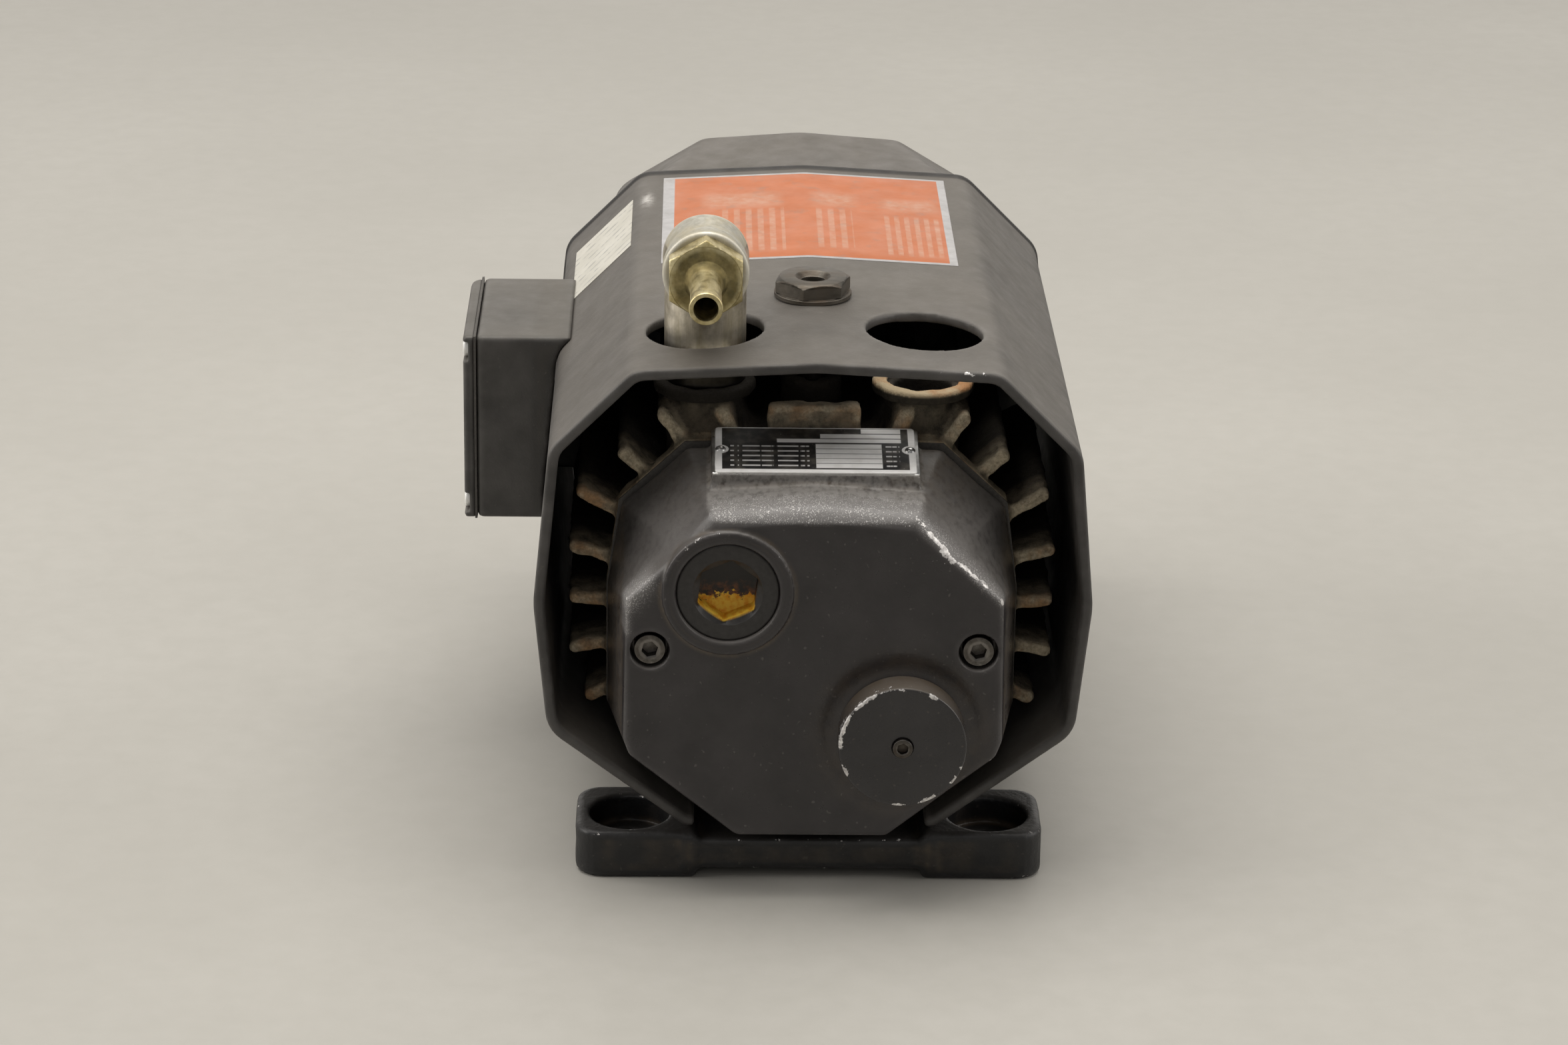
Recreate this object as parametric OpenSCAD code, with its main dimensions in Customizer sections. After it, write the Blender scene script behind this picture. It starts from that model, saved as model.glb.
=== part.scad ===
// Air-cooled rotary vane vacuum pump: finned pump casting on a cast foot, built-in motor,
// cooling hood, front filter cover, fan cover, terminal box and a hose tail on the inlet.
// The front of the pump faces -Y and up is +Z. The origin is the centre of the foot bolt
// pattern, on the plane that the feet stand on.

/* [Foot] */
// Distance between the left and right foot bolts
foot_bolt_x = 150; // [146:1:152]
// Distance between the front and rear foot bolts
foot_bolt_y = 140; // [138:1:142]
// Diameter of each foot bolt hole
foot_bolt_d = 11; // [9:0.5:12]
// Diameter of the round pocket above each foot bolt
foot_pocket_d = 33.5; // [30:0.5:34]
// Width over the feet
foot_w = 195; // [193:1:198]
// Height of the feet
foot_h = 21; // [20:0.5:21]

/* [Pump] */
// Bore of the pump cylinder
bore_d = 100; // [98:0.5:100]
// Distance of the shaft axis above the bore axis
eccentricity = 5; // [4:0.1:5]
// Thickness of each vane
vane_t = 4; // [3:0.1:4.5]
// Height of each vane, from its root to its tip
vane_h = 22; // [20:0.5:22]

/* [Hood] */
// Length of the hood along the shaft
hood_len = 280; // [278:1:282]
// Thickness of the hood's wall
hood_wall = 4.5; // [3.5:0.1:4.5]
// Diameter of the two holes above the ports
hood_hole_d = 48; // [46:1:48]

/* [Ports] */
// Distance between the inlet and outlet port axes
port_x = 90; // [88:1:92]
// Inside diameter of the port threads
port_d = 24.2; // [23.5:0.1:24.5]
// Outside diameter of the collar at the top of each port
port_boss_d = 42; // [40:1:43]
// Outside diameter of the port below its collar
port_neck_d = 31; // [30:1:32]
// Outside diameter of the hose tail at its mouth
hose_tail_d = 13.6; // [12:0.1:14]
// Bore of the hose tail
hose_bore_d = 9.6; // [8:0.1:10]

/* [Front cover] */
// Diameter of the hexagon socket plug
plug_d = 42; // [40:0.5:42]
// Width across the flats of the plug's socket
plug_af = 22; // [19:1:24]
// Diameter of the round filter cap
filter_cap_d = 52; // [48:1:52]
// How far the filter cap stands out of the cover
filter_cap_h = 14; // [12:0.5:15]

/* [Terminal box] */
// Length of the terminal box along the shaft
box_len = 85; // [80:1:86]
// Height of the terminal box
box_h = 83; // [80:1:84]

/* [Hidden] */
$fn = 96;

// Clearances: between fixed pieces, on running fits, and between turning and fixed pieces.
fit_gap = 0.02;
running_gap = 0.05;
air_gap = 0.6;
thread_gap = 0.1;

// Axes and planes of the pump.
bore_r = bore_d / 2;
bore_z = 107;
shaft_z = bore_z + eccentricity;
casting_front_y = -59;
casting_back_y = 59;
plate_t = 18;
chamber_half = casting_back_y - plate_t;
recess_r = 60;
core_r = 70;
flange_t = 10;
port_y = -37;
port_top_z = 203;
plate_screw_r = 54.3;
plate_screw_count = 6;

// Rotor and vanes. Angles are counted from the sealing line at the top, in the turning direction.
rotor_r = bore_r - eccentricity - running_gap;
vane_count = 7;
vane_pitch = 360 / vane_count;
vane_tip_r = rotor_r - 0.15;
slot_root_r = vane_tip_r - vane_h - 0.2;

// Shaft steps.
journal_r = 10;
rotor_seat_r = 14;
motor_seat_r = 12;
middle_seat_r = 12.5;
rear_seat_r = 8.5;
fan_seat_r = 8;
key_w = 6;

// Cover.
cover_front_y = -112;
gasket_t = 1;
cover_back_y = casting_front_y - gasket_t;
cover_wall = 5;
cover_front_outline = [[30.5, 29.5], [74.5, 65], [77, 72], [76, 134.5], [54, 153], [40.5, 168.5], [0, 172]];
cover_back_outline = [[38, 20.5], [80, 57], [85, 68], [85, 120], [80, 157], [53, 182.5], [0, 184]];
cover_screw_x = 66.5;
cover_screw_z = 111.5;
cover_screw_r = 4;
screw_head_r = 6.5;
counterbore_r = 7.5;
plug_x = -35.2;
plug_z = 137;
plug_boss_r = 26.5;
plug_len = 14;
cap_x = 36;
cap_z = 75.5;
cap_hole_r = 22;

// Nameplate, on a pad that rises towards the hood.
plate_w = 83;
plate_len = 36.5;
plate_tilt = 10;
plate_y = -91.8;
plate_z = 180;
plate_t_thin = 0.8;

// Hood outline: right half from the lower lip up to the ridge.
hood_front_y = -87;
hood_back_y = hood_front_y + hood_len;
hood_half = [[52, 22], [109, 65], [114.5, 121], [108, 188], [74, 222], [0, 226]];
hood_top_z = 226;
nut_y = 3;
nut_af = 28.4;
nut_flange_r = 16.3;
nut_h = 8;
stud_r = 6;

// Motor.
housing_r = 62;
housing_bore_r = 58;
housing_back_y = 162;
stator_y0 = 84;
stator_y1 = 144;
stator_bore_r = 34.6;
slot_count = 24;
lug_r = 64;
motor_flange_r = 78;
motor_bolt_r = 72.5;

// Bearings: [bore radius, outer radius, width, ball radius, ball count].
front_bearing = [10, 23.5, 14, 3.9, 8];
middle_bearing = [12.5, 26, 15, 3.9, 9];
rear_bearing = [8.5, 20, 12, 3.3, 8];
front_bearing_y = casting_front_y;
middle_bearing_y = casting_back_y - 15;
rear_bearing_y = 164;

// Fan and fan cover.
fan_y = 188;
fan_r = 76;
fan_w = 26;
blade_count = 9;
cowl_front_y = 178;
cowl_back_y = 260;
cowl_wall = 3;
cowl_back_half = [[44, 33], [78, 54], [99, 92], [99, 150], [86, 196], [46, 220], [0, 223.5]];

// Terminal box.
box_y0 = 35;
box_y1 = box_y0 + box_len;
box_z0 = 112;
box_z1 = box_z0 + box_h;
box_x = -143;
box_corner_r = 10;
lid_screw_y = [box_y0 + 7, box_y1 - 13];
lid_t = 5;
lid_gasket_t = 1;
box_wall = 3;
neck_y = 71;
neck_len = 32;
neck_z = 122;
neck_h = 30;

// The fins' tips follow the inside of the hood: each facet is [distance from the bore axis, its direction].
fin_facets = [[88, 90], [105.5, 45], [100.5, 0], [102, -30], [89, -53]];
function fin_tip(a) = min([for (f = fin_facets) f[0] / max(cos(a - f[1]), 0.1)]);
fin_t = 5;
fin_front_y = casting_front_y + 3.7;
fin_first = 2.4;
fin_step = 360 / 28;

function unit(v) = v / norm(v);
function left_of(v) = [-v.y, v.x];
function mirrored(half) = concat(half, [for (i = [len(half) - 2:-1:0]) [-half[i].x, half[i].y]]);
function inset(p, t) = [for (i = [0:len(p) - 1])
  let (a = p[(i + len(p) - 1) % len(p)], b = p[i], c = p[(i + 1) % len(p)],
       n1 = left_of(unit(b - a)), n2 = left_of(unit(c - b)))
  b + t * (n1 + n2) / (1 + n1 * n2)];

// ---- shared shapes ----

// Draws a flat shape, given in X and Z, between two planes across Y.
module between_y(y0, y1) {
  translate([0, y1, 0]) rotate([90, 0, 0]) linear_extrude(y1 - y0) children();
}

module rod_y(r, y0, y1, x = 0, z = 0) {
  translate([x, y1, z]) rotate([90, 0, 0]) cylinder(r = r, h = y1 - y0);
}

module ring_y(outer, inner, y0, y1, x = 0, z = 0) {
  difference() {
    rod_y(outer, y0, y1, x, z);
    rod_y(inner, y0 - 1, y1 + 1, x, z);
  }
}

module block(x0, x1, y0, y1, z0, z1) {
  translate([x0, y0, z0]) cube([x1 - x0, y1 - y0, z1 - z0]);
}

// Solid of revolution about a line along Y at the shaft's height.
module turned_y(y0) {
  translate([0, y0, shaft_z]) rotate([-90, 0, 0]) rotate_extrude() children();
}

module socket_screw(r, head_r, head_h, length, af) {
  difference() {
    union() {
      cylinder(r = head_r, h = head_h);
      translate([0, 0, -length]) cylinder(r = r, h = length);
    }
    translate([0, 0, head_h * 0.4]) cylinder(r = af / sqrt(3), h = head_h, $fn = 6);
  }
}

// Turns a screw that stands along +Z so that its head faces the front or the rear.
module facing_front() { rotate([90, 0, 0]) children(); }
module facing_rear() { rotate([-90, 0, 0]) children(); }

module at_plate_screws(y) {
  for (i = [0:plate_screw_count - 1])
    let (a = i * 360 / plate_screw_count + 15)
      translate([plate_screw_r * cos(a), y, bore_z + plate_screw_r * sin(a)]) children();
}

module at_foot_bolts() {
  for (sx = [-1, 1], sy = [-1, 1]) translate([sx * foot_bolt_x / 2, sy * foot_bolt_y / 2, 0]) children();
}

module at_foot_screws() {
  for (sx = [-1, 1], y = [-30, 40]) translate([sx * 26, y, 0]) children();
}

module at_motor_lugs(y) {
  for (a = [45:90:315]) translate([lug_r * cos(a), y, shaft_z + lug_r * sin(a)]) children();
}

module at_cover_screws(y) {
  for (s = [-1, 1]) translate([s * cover_screw_x, y, cover_screw_z]) children();
}

// ---- foot ----

foot_pad_len = 47.5;
foot_pad_inner = 48;
foot_front_y = -91;
foot_gap_z = 4.5;
bridge_h = 18;
saddle_top_z = 28;
pad_corner_r = 9;

module foot_pad(sx, sy) {
  x0 = foot_pad_inner - 14;
  x1 = foot_w / 2;
  y0 = -foot_front_y - foot_pad_len;
  y1 = -foot_front_y;
  mirror([sx < 0 ? 1 : 0, 0, 0]) mirror([0, sy < 0 ? 1 : 0, 0]) {
    linear_extrude(foot_h) union() {
      polygon([[x0 + 14, y0], [x1 - pad_corner_r, y0], [x1, y0 + pad_corner_r],
               [x1, y1 - pad_corner_r], [x1 - pad_corner_r, y1], [x0 + 14, y1]]);
      translate([x1 - pad_corner_r, y0 + pad_corner_r]) circle(pad_corner_r);
      translate([x1 - pad_corner_r, y1 - pad_corner_r]) circle(pad_corner_r);
    }
  }
}

module foot() {
  color("#26262a") difference() {
    union() {
      for (sx = [-1, 1], sy = [-1, 1]) foot_pad(sx, sy);
      for (s = [0, 1]) mirror([0, s, 0])
        block(-foot_pad_inner, foot_pad_inner, -foot_front_y - foot_pad_len, -foot_front_y, foot_gap_z, bridge_h);
      block(-foot_pad_inner, foot_pad_inner, -48, 48, foot_gap_z, bridge_h);
      for (y = [-42, 28]) block(-40, 40, y, y + 24, foot_gap_z, saddle_top_z);
    }
    at_foot_bolts() translate([0, 0, -1]) cylinder(d = foot_bolt_d, h = foot_h + 2);
    at_foot_bolts() translate([0, 0, 9]) cylinder(d = foot_pocket_d, h = foot_h);
    at_foot_screws() cylinder(r = 4.5, h = saddle_top_z + 1);
    at_foot_screws() cylinder(r = 7.5, h = 14);
  }
}

module foot_screws() {
  color("#3a3a3c") at_foot_screws() translate([0, 0, 14]) mirror([0, 0, 1]) socket_screw(4, 6.5, 8, 24, 6);
}

// ---- pump casting ----

module fin(a) {
  tip = fin_tip(a);
  rotate([0, 0, a]) union() {
    translate([core_r - 6, -fin_t / 2]) square([tip - core_r + 6 - fin_t / 2, fin_t]);
    translate([tip - fin_t / 2, 0]) circle(d = fin_t);
  }
}

module fins() {
  for (k = [-4:5], s = [0, 1]) mirror([s, 0, 0]) translate([0, bore_z]) fin(fin_first + k * fin_step);
}

module cylinder_casting() {
  rod_y(core_r, casting_front_y, casting_back_y, 0, bore_z);
  between_y(fin_front_y, casting_back_y) fins();
  between_y(casting_front_y, casting_front_y + flange_t) polygon(mirrored(cover_back_outline));
  for (s = [-1, 1]) translate([s * port_x / 2, port_y, 0]) {
    translate([0, 0, bore_z + 30]) cylinder(d = port_neck_d, h = port_top_z - bore_z - 30);
    translate([0, 0, port_top_z - 5]) cylinder(d = port_boss_d, h = 5);
  }
  at_cover_screws(casting_front_y) facing_rear() cylinder(r = 9, h = 32);
  rod_y(motor_flange_r, casting_back_y - flange_t, casting_back_y, 0, bore_z);
  block(-19, 19, casting_front_y + 5, casting_front_y + 13, bore_z + 60, 196);
  translate([0, nut_y, bore_z + 60]) cylinder(r = 13, h = 24);
  block(-42, 42, -44, 54, saddle_top_z, 60);
}

module cylinder_body() {
  color("#6b5a45") difference() {
    cylinder_casting();
    rod_y(bore_r, casting_front_y - 1, casting_back_y + 1, 0, bore_z);
    rod_y(recess_r, casting_front_y - 1, -chamber_half, 0, bore_z);
    rod_y(recess_r, chamber_half, casting_back_y + 1, 0, bore_z);
    for (s = [-1, 1]) {
      translate([s * port_x / 2, port_y, 162]) cylinder(d = port_d, h = 60);
      rod_y(7, casting_front_y - 1, port_y, s * port_x / 2, 170);
    }
    at_cover_screws(casting_front_y - 1) facing_rear() cylinder(r = cover_screw_r + thread_gap, h = 30);
    at_plate_screws(-chamber_half - 1) facing_rear() cylinder(r = 3 + thread_gap, h = 14);
    at_plate_screws(chamber_half + 1) facing_front() cylinder(r = 3 + thread_gap, h = 14);
    translate([0, nut_y, 175]) cylinder(r = stud_r + thread_gap, h = 30);
    at_foot_screws() translate([0, 0, saddle_top_z - 1]) cylinder(r = 4 + thread_gap, h = 14);
    at_motor_flange(casting_back_y + 1) facing_front() cylinder(r = 3 + thread_gap, h = 10);
  }
}

// Openings that let air pass between the cover's chambers and the vane chambers.
module kidney(a0, a1) {
  intersection() {
    difference() {
      circle(47);
      circle(38);
    }
    polygon([[0, 0], [70 * cos(a0), 70 * sin(a0)], [70 * cos((a0 + a1) / 2), 70 * sin((a0 + a1) / 2)],
             [70 * cos(a1), 70 * sin(a1)]]);
  }
}

module front_end_plate() {
  color("#77756f") difference() {
    rod_y(recess_r - running_gap, casting_front_y, -chamber_half, 0, bore_z);
    rod_y(front_bearing[1] + fit_gap, casting_front_y - 1, casting_front_y + 14, 0, shaft_z);
    rod_y(14 + fit_gap, casting_front_y + 13, -chamber_half - 1, 0, shaft_z);
    rod_y(journal_r + 0.5, -chamber_half - 5, -chamber_half + 1, 0, shaft_z);
    between_y(casting_front_y - 1, -chamber_half + 1) translate([0, bore_z]) {
      kidney(195, 240);
      kidney(300, 345);
    }
    at_plate_screws(casting_front_y - 1) facing_rear() cylinder(r = 3.3, h = plate_t + 2);
    at_plate_screws(casting_front_y - 1) facing_rear() cylinder(r = 5.5, h = 8);
  }
}

module rear_end_plate() {
  color("#77756f") difference() {
    rod_y(recess_r - running_gap, chamber_half, casting_back_y, 0, bore_z);
    rod_y(middle_bearing[1] + fit_gap, middle_bearing_y, casting_back_y + 1, 0, shaft_z);
    rod_y(17 + fit_gap, chamber_half + 1, middle_bearing_y + 1, 0, shaft_z);
    rod_y(middle_seat_r + 0.5, chamber_half - 1, chamber_half + 2, 0, shaft_z);
    at_plate_screws(casting_back_y + 1) facing_front() cylinder(r = 3.3, h = plate_t + 2);
    at_plate_screws(casting_back_y + 1) facing_front() cylinder(r = 5.5, h = 8);
  }
}

module end_plate_screws() {
  color("#3a3a3c") {
    at_plate_screws(casting_front_y + 7) facing_front() socket_screw(3, 5, 6, 22, 5);
    at_plate_screws(casting_back_y - 7) facing_rear() socket_screw(3, 5, 6, 22, 5);
  }
}

// ---- turning parts ----

module shaft() {
  color("#b5b7ba") difference() {
    union() {
      rod_y(journal_r, casting_front_y, -chamber_half, 0, shaft_z);
      rod_y(rotor_seat_r, -chamber_half + 0.2, chamber_half - 0.2, 0, shaft_z);
      rod_y(middle_seat_r, chamber_half - 0.2, casting_back_y, 0, shaft_z);
      rod_y(motor_seat_r, casting_back_y, 156, 0, shaft_z);
      rod_y(rear_seat_r, 156, rear_bearing_y + rear_bearing[2], 0, shaft_z);
      rod_y(fan_seat_r, rear_bearing_y + rear_bearing[2], fan_y + 18, 0, shaft_z);
      rod_y(journal_r, -chamber_half - 0.1, -chamber_half + 0.3, 0, shaft_z);
    }
    block(-key_w / 2, key_w / 2, -30, 30, shaft_z + rotor_seat_r - 3.5, shaft_z + rotor_seat_r + 1);
  }
}

module rotor_key() {
  color("#9a9c9e") block(-key_w / 2 + fit_gap, key_w / 2 - fit_gap, -29.9, 29.9,
                         shaft_z + rotor_seat_r - 3.4, shaft_z + rotor_seat_r + 2.4);
}

// Turns a shape about the shaft axis by the angle of one vane.
module at_vane(i) {
  translate([0, 0, shaft_z]) rotate([0, -(i + 0.5) * vane_pitch, 0]) children();
}

module rotor() {
  half = chamber_half - running_gap;
  color("#85878a") difference() {
    rod_y(rotor_r, -half, half, 0, shaft_z);
    rod_y(rotor_seat_r + fit_gap, -half - 1, half + 1, 0, shaft_z);
    block(-key_w / 2, key_w / 2, -31, 31, shaft_z + rotor_seat_r - 1, shaft_z + rotor_seat_r + 2.5);
    for (i = [0:vane_count - 1]) at_vane(i)
      block(-vane_t / 2 - running_gap, vane_t / 2 + running_gap, -half - 1, half + 1, slot_root_r, rotor_r + 5);
  }
}

// A vane pushed fully into its slot, with a rounded tip.
module vane(i) {
  half = chamber_half - 0.1;
  tip_z = vane_tip_r - vane_t / 2;
  color("#2e2e30") at_vane(i) between_y(-half, half) union() {
    translate([-vane_t / 2, vane_tip_r - vane_h]) square([vane_t, vane_h - vane_t / 2]);
    translate([0, tip_z]) intersection() {
      circle(vane_t / 2);
      translate([-vane_t, 0]) square(2 * vane_t);
    }
  }
}

// ---- bearings ----

function pitch_r(b) = (b[0] + b[1]) / 2;

module bearing_ring(b, y, r0, r1) {
  turned_y(y) difference() {
    translate([r0, 0]) square([r1 - r0, b[2]]);
    translate([pitch_r(b), b[2] / 2]) circle(b[3] + 0.25);
  }
}

module outer_ring(b, y) { color("#c4c6c8") bearing_ring(b, y, pitch_r(b) + b[3] * 0.55, b[1]); }
module inner_ring(b, y) { color("#c4c6c8") bearing_ring(b, y, b[0] + fit_gap, pitch_r(b) - b[3] * 0.55); }

module ball_set(b, y) {
  color("#dcdee0") for (i = [0:b[4] - 1])
    translate([0, y + b[2] / 2, shaft_z]) rotate([0, i * 360 / b[4], 0])
      translate([pitch_r(b), 0, 0]) sphere(b[3], $fn = 48);
}

module shaft_seals() {
  color("#4c4640") {
    ring_y(14, journal_r + running_gap, -chamber_half - 3.8, -chamber_half - 1.2, 0, shaft_z);
    ring_y(17, middle_seat_r + running_gap, chamber_half + 2.1, chamber_half + 2.9, 0, shaft_z);
  }
}

// ---- front cover ----

module cover_shell() {
  hull() {
    between_y(cover_front_y, cover_front_y + 1) polygon(mirrored(cover_front_outline));
    between_y(cover_back_y - 1, cover_back_y) polygon(mirrored(cover_back_outline));
  }
}

module cover_cavity() {
  hull() {
    between_y(cover_front_y + cover_wall, cover_front_y + cover_wall + 1)
      polygon(inset(mirrored(cover_front_outline), cover_wall));
    between_y(cover_back_y, cover_back_y + 1) polygon(inset(mirrored(cover_back_outline), cover_wall));
  }
}

// Wedge that carries the nameplate.
module nameplate_pad() {
  run = cover_back_y - plate_y;
  translate([-plate_w / 2 - 0.7, 0, 0]) rotate([90, 0, 90]) linear_extrude(plate_w + 1.4)
    polygon([[plate_y, plate_z - 8], [cover_back_y, plate_z - 8],
             [cover_back_y, plate_z + run * tan(plate_tilt)], [plate_y, plate_z]]);
}

module front_cover() {
  color("#232326") difference() {
    union() {
      difference() {
        union() {
          cover_shell();
          nameplate_pad();
        }
        cover_cavity();
      }
      rod_y(plug_boss_r, cover_front_y - 1, cover_front_y + 20, plug_x, plug_z);
      at_cover_screws(cover_front_y) facing_rear() cylinder(r = 9.5, h = cover_back_y - cover_front_y);
      rod_y(filter_cap_d / 2 - 2, cover_front_y, cover_front_y + 8, cap_x, cap_z);
    }
    rod_y(plug_d / 2 + thread_gap, cover_front_y - 2, cover_front_y + plug_len, plug_x, plug_z);
    rod_y(17, cover_front_y, cover_front_y + 30, plug_x, plug_z);
    rod_y(cap_hole_r, cover_front_y - 1, cover_front_y + 30, cap_x, cap_z);
    at_cover_screws(cover_front_y - 1) facing_rear() cylinder(r = 4.5, h = 60);
    at_cover_screws(cover_front_y - 1) facing_rear() cylinder(r = counterbore_r, h = 10);
    at_rivets() cylinder(r = 1.3, h = 12, center = true);
  }
}

module cover_gasket() {
  color("#8f8a80") between_y(cover_back_y, casting_front_y) difference() {
    polygon(mirrored(cover_back_outline));
    difference() {
      polygon(inset(mirrored(cover_back_outline), cover_wall));
      for (s = [-1, 1]) translate([s * cover_screw_x, cover_screw_z]) circle(9.5);
    }
    for (s = [-1, 1]) translate([s * cover_screw_x, cover_screw_z]) circle(4.5);
  }
}

module cover_screws() {
  color("#6f7072") at_cover_screws(cover_front_y + 9) facing_front()
    socket_screw(cover_screw_r, screw_head_r, 8, 66, 6);
}

module hex_plug() {
  color("#2b2a29") difference() {
    rod_y(plug_d / 2, cover_front_y - 0.6, cover_front_y + plug_len - 1, plug_x, plug_z);
    translate([plug_x, cover_front_y - 2, plug_z]) facing_rear() rotate([0, 0, 30])
      cylinder(r = plug_af / sqrt(3), h = 11.4, $fn = 6);
    translate([plug_x, cover_front_y - 0.6, plug_z]) facing_rear() translate([0, 0, -0.01])
      cylinder(r1 = plug_af * 0.65, r2 = plug_af * 0.5, h = 2.2);
  }
}

module filter_cap() {
  cap_r = filter_cap_d / 2;
  color("#29292b") difference() {
    rod_y(cap_r, cover_front_y - filter_cap_h, cover_front_y, cap_x, cap_z);
    rod_y(cap_r - 4, cover_front_y - filter_cap_h + 4, cover_front_y + 1, cap_x, cap_z);
    rod_y(4.1, cover_front_y - filter_cap_h - 1, cover_front_y - filter_cap_h + 1.2, cap_x, cap_z);
    rod_y(2.2, cover_front_y - filter_cap_h - 1, cover_front_y, cap_x, cap_z);
  }
}

module filter_cap_screw() {
  color("#5a5b5c") translate([cap_x, cover_front_y - filter_cap_h + 1.2, cap_z]) facing_front()
    socket_screw(2, 3.5, 2.4, 40, 3);
}

// Pleated filter cartridge: end discs round a star-shaped sleeve.
module cartridge(x, z, r, bore, y0, y1) {
  pleats = 18;
  between_y(y0 + 2, y1 - 2) translate([x, z]) difference() {
    polygon([for (i = [0:2 * pleats - 1]) let (a = i * 180 / pleats, q = i % 2 == 0 ? r - 0.5 : r - 3.5)
      [q * cos(a), q * sin(a)]]);
    circle(bore);
  }
  ring_y(r, bore, y0, y0 + 2, x, z);
  ring_y(r, bore, y1 - 2, y1, x, z);
}

module inlet_filter() { color("#e3dcc6") cartridge(plug_x, plug_z, 19, 9, cover_front_y + 22, cover_back_y - 2); }
module exhaust_filter() { color("#e3dcc6") cartridge(cap_x, cap_z, 21, 10, cover_front_y + 2, cover_back_y - 2); }

// Frame of the nameplate: X across, Y up the slope, Z off the plate.
module on_nameplate() {
  translate([0, plate_y, plate_z]) rotate([plate_tilt, 0, 0]) children();
}

module at_rivets() {
  on_nameplate() for (s = [-1, 1]) translate([s * 38.5, plate_len / 2, 0]) children();
}

module plate_blank(w, l, t) {
  difference() {
    translate([-w / 2, 0, 0]) cube([w, l, t]);
    for (s = [-1, 1]) translate([s * 38.5, l / 2, -1]) cylinder(r = 1.3, h = t + 2);
  }
}

module nameplate_backing() {
  color("#b9bbbc") on_nameplate() plate_blank(plate_w + 1.4, plate_len, plate_t_thin);
}

module nameplate() {
  color("#d5d6d4") on_nameplate() translate([0, 0, plate_t_thin]) plate_blank(plate_w - 1.6, plate_len, plate_t_thin);
}

module nameplate_rivets() {
  color("#d9dadb") at_rivets() {
    translate([0, 0, -5]) cylinder(r = 1.25, h = 5 + 2 * plate_t_thin);
    translate([0, 0, 2 * plate_t_thin]) intersection() {
      translate([0, 0, -1.4]) sphere(2.6, $fn = 48);
      cylinder(r = 3, h = 2);
    }
  }
}

// ---- inlet fitting ----

elbow_r = 16.8;
elbow_z = 255;
elbow_front_y = port_y - 25;
hex_af = 30;
tail_len = 35;

module inlet_elbow() {
  color("#b7ad8c") difference() {
    union() {
      translate([-port_x / 2, port_y, port_top_z]) cylinder(r = elbow_r, h = elbow_z - port_top_z);
      translate([-port_x / 2, port_y, port_top_z - 16]) cylinder(d = port_d - 0.2, h = 17);
      translate([-port_x / 2, port_y, elbow_z]) sphere(elbow_r);
      rod_y(elbow_r, elbow_front_y, port_y, -port_x / 2, elbow_z);
      rod_y(elbow_r + 0.8, elbow_front_y, elbow_front_y + 9, -port_x / 2, elbow_z);
    }
    translate([-port_x / 2, port_y, port_top_z - 17]) cylinder(r = 8.5, h = elbow_z - port_top_z + 17);
    translate([-port_x / 2, port_y, elbow_z]) sphere(8.5);
    rod_y(8.5, elbow_front_y - 1, port_y, -port_x / 2, elbow_z);
    rod_y(10.4, elbow_front_y - 1, elbow_front_y + 12, -port_x / 2, elbow_z);
  }
}

module hose_tail() {
  hex_y = elbow_front_y - 10;
  color("#a8914e") difference() {
    union() {
      rod_y(10.3, elbow_front_y, elbow_front_y + 11, -port_x / 2, elbow_z);
      translate([-port_x / 2, elbow_front_y, elbow_z]) facing_front() rotate([0, 0, 20])
        cylinder(r = hex_af / sqrt(3), h = 10, $fn = 6);
      translate([-port_x / 2, hex_y, elbow_z]) facing_front() {
        cylinder(r = hose_tail_d / 2 + 0.5, h = 3);
        cylinder(r1 = hose_tail_d / 2 - 1, r2 = hose_tail_d / 2, h = tail_len);
      }
    }
    rod_y(hose_bore_d / 2, hex_y - tail_len - 1, elbow_front_y + 12, -port_x / 2, elbow_z);
  }
}

// ---- motor ----

module at_motor_flange(y) {
  for (a = [20:90:290]) translate([motor_bolt_r * cos(a), y, bore_z + motor_bolt_r * sin(a)]) children();
}

module motor_housing() {
  color("#3b3c3f") difference() {
    union() {
      rod_y(motor_flange_r, casting_back_y, casting_back_y + 8, 0, bore_z);
      rod_y(housing_r, casting_back_y, housing_back_y, 0, shaft_z);
      at_motor_lugs(housing_back_y) facing_front() cylinder(r = 6.5, h = 24);
    }
    rod_y(housing_bore_r, casting_back_y - 1, housing_back_y + 1, 0, shaft_z);
    at_motor_lugs(housing_back_y + 1) facing_front() cylinder(r = 2.5 + thread_gap, h = 20);
    at_motor_flange(casting_back_y - 1) facing_rear() cylinder(r = 3.3, h = 12);
  }
}

module motor_screws() {
  color("#55565a") {
    at_motor_lugs(housing_back_y + 12) facing_rear() socket_screw(2.5, 4.25, 5, 28, 4);
    at_motor_flange(casting_back_y + 8) facing_rear() socket_screw(3, 5, 6, 16, 5);
  }
}

module slots(w, r0, r1) {
  for (i = [0:slot_count - 1]) rotate([0, 0, i * 360 / slot_count]) translate([r0, -w / 2]) square([r1 - r0, w]);
}

module stator_core() {
  color("#8b8c8e") between_y(stator_y0, stator_y1) translate([0, shaft_z]) difference() {
    circle(housing_bore_r - fit_gap);
    circle(stator_bore_r);
    slots(4.4, stator_bore_r + 2, 50);
  }
}

module stator_windings() {
  color("#b06a34") {
    for (y = [stator_y0 - 15, stator_y1]) turned_y(y) translate([stator_bore_r + 2.5, 0]) square([14, 15]);
    between_y(stator_y0 - 1, stator_y1 + 1) translate([0, shaft_z]) slots(3.8, stator_bore_r + 2.5, 49.5);
  }
}

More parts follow.
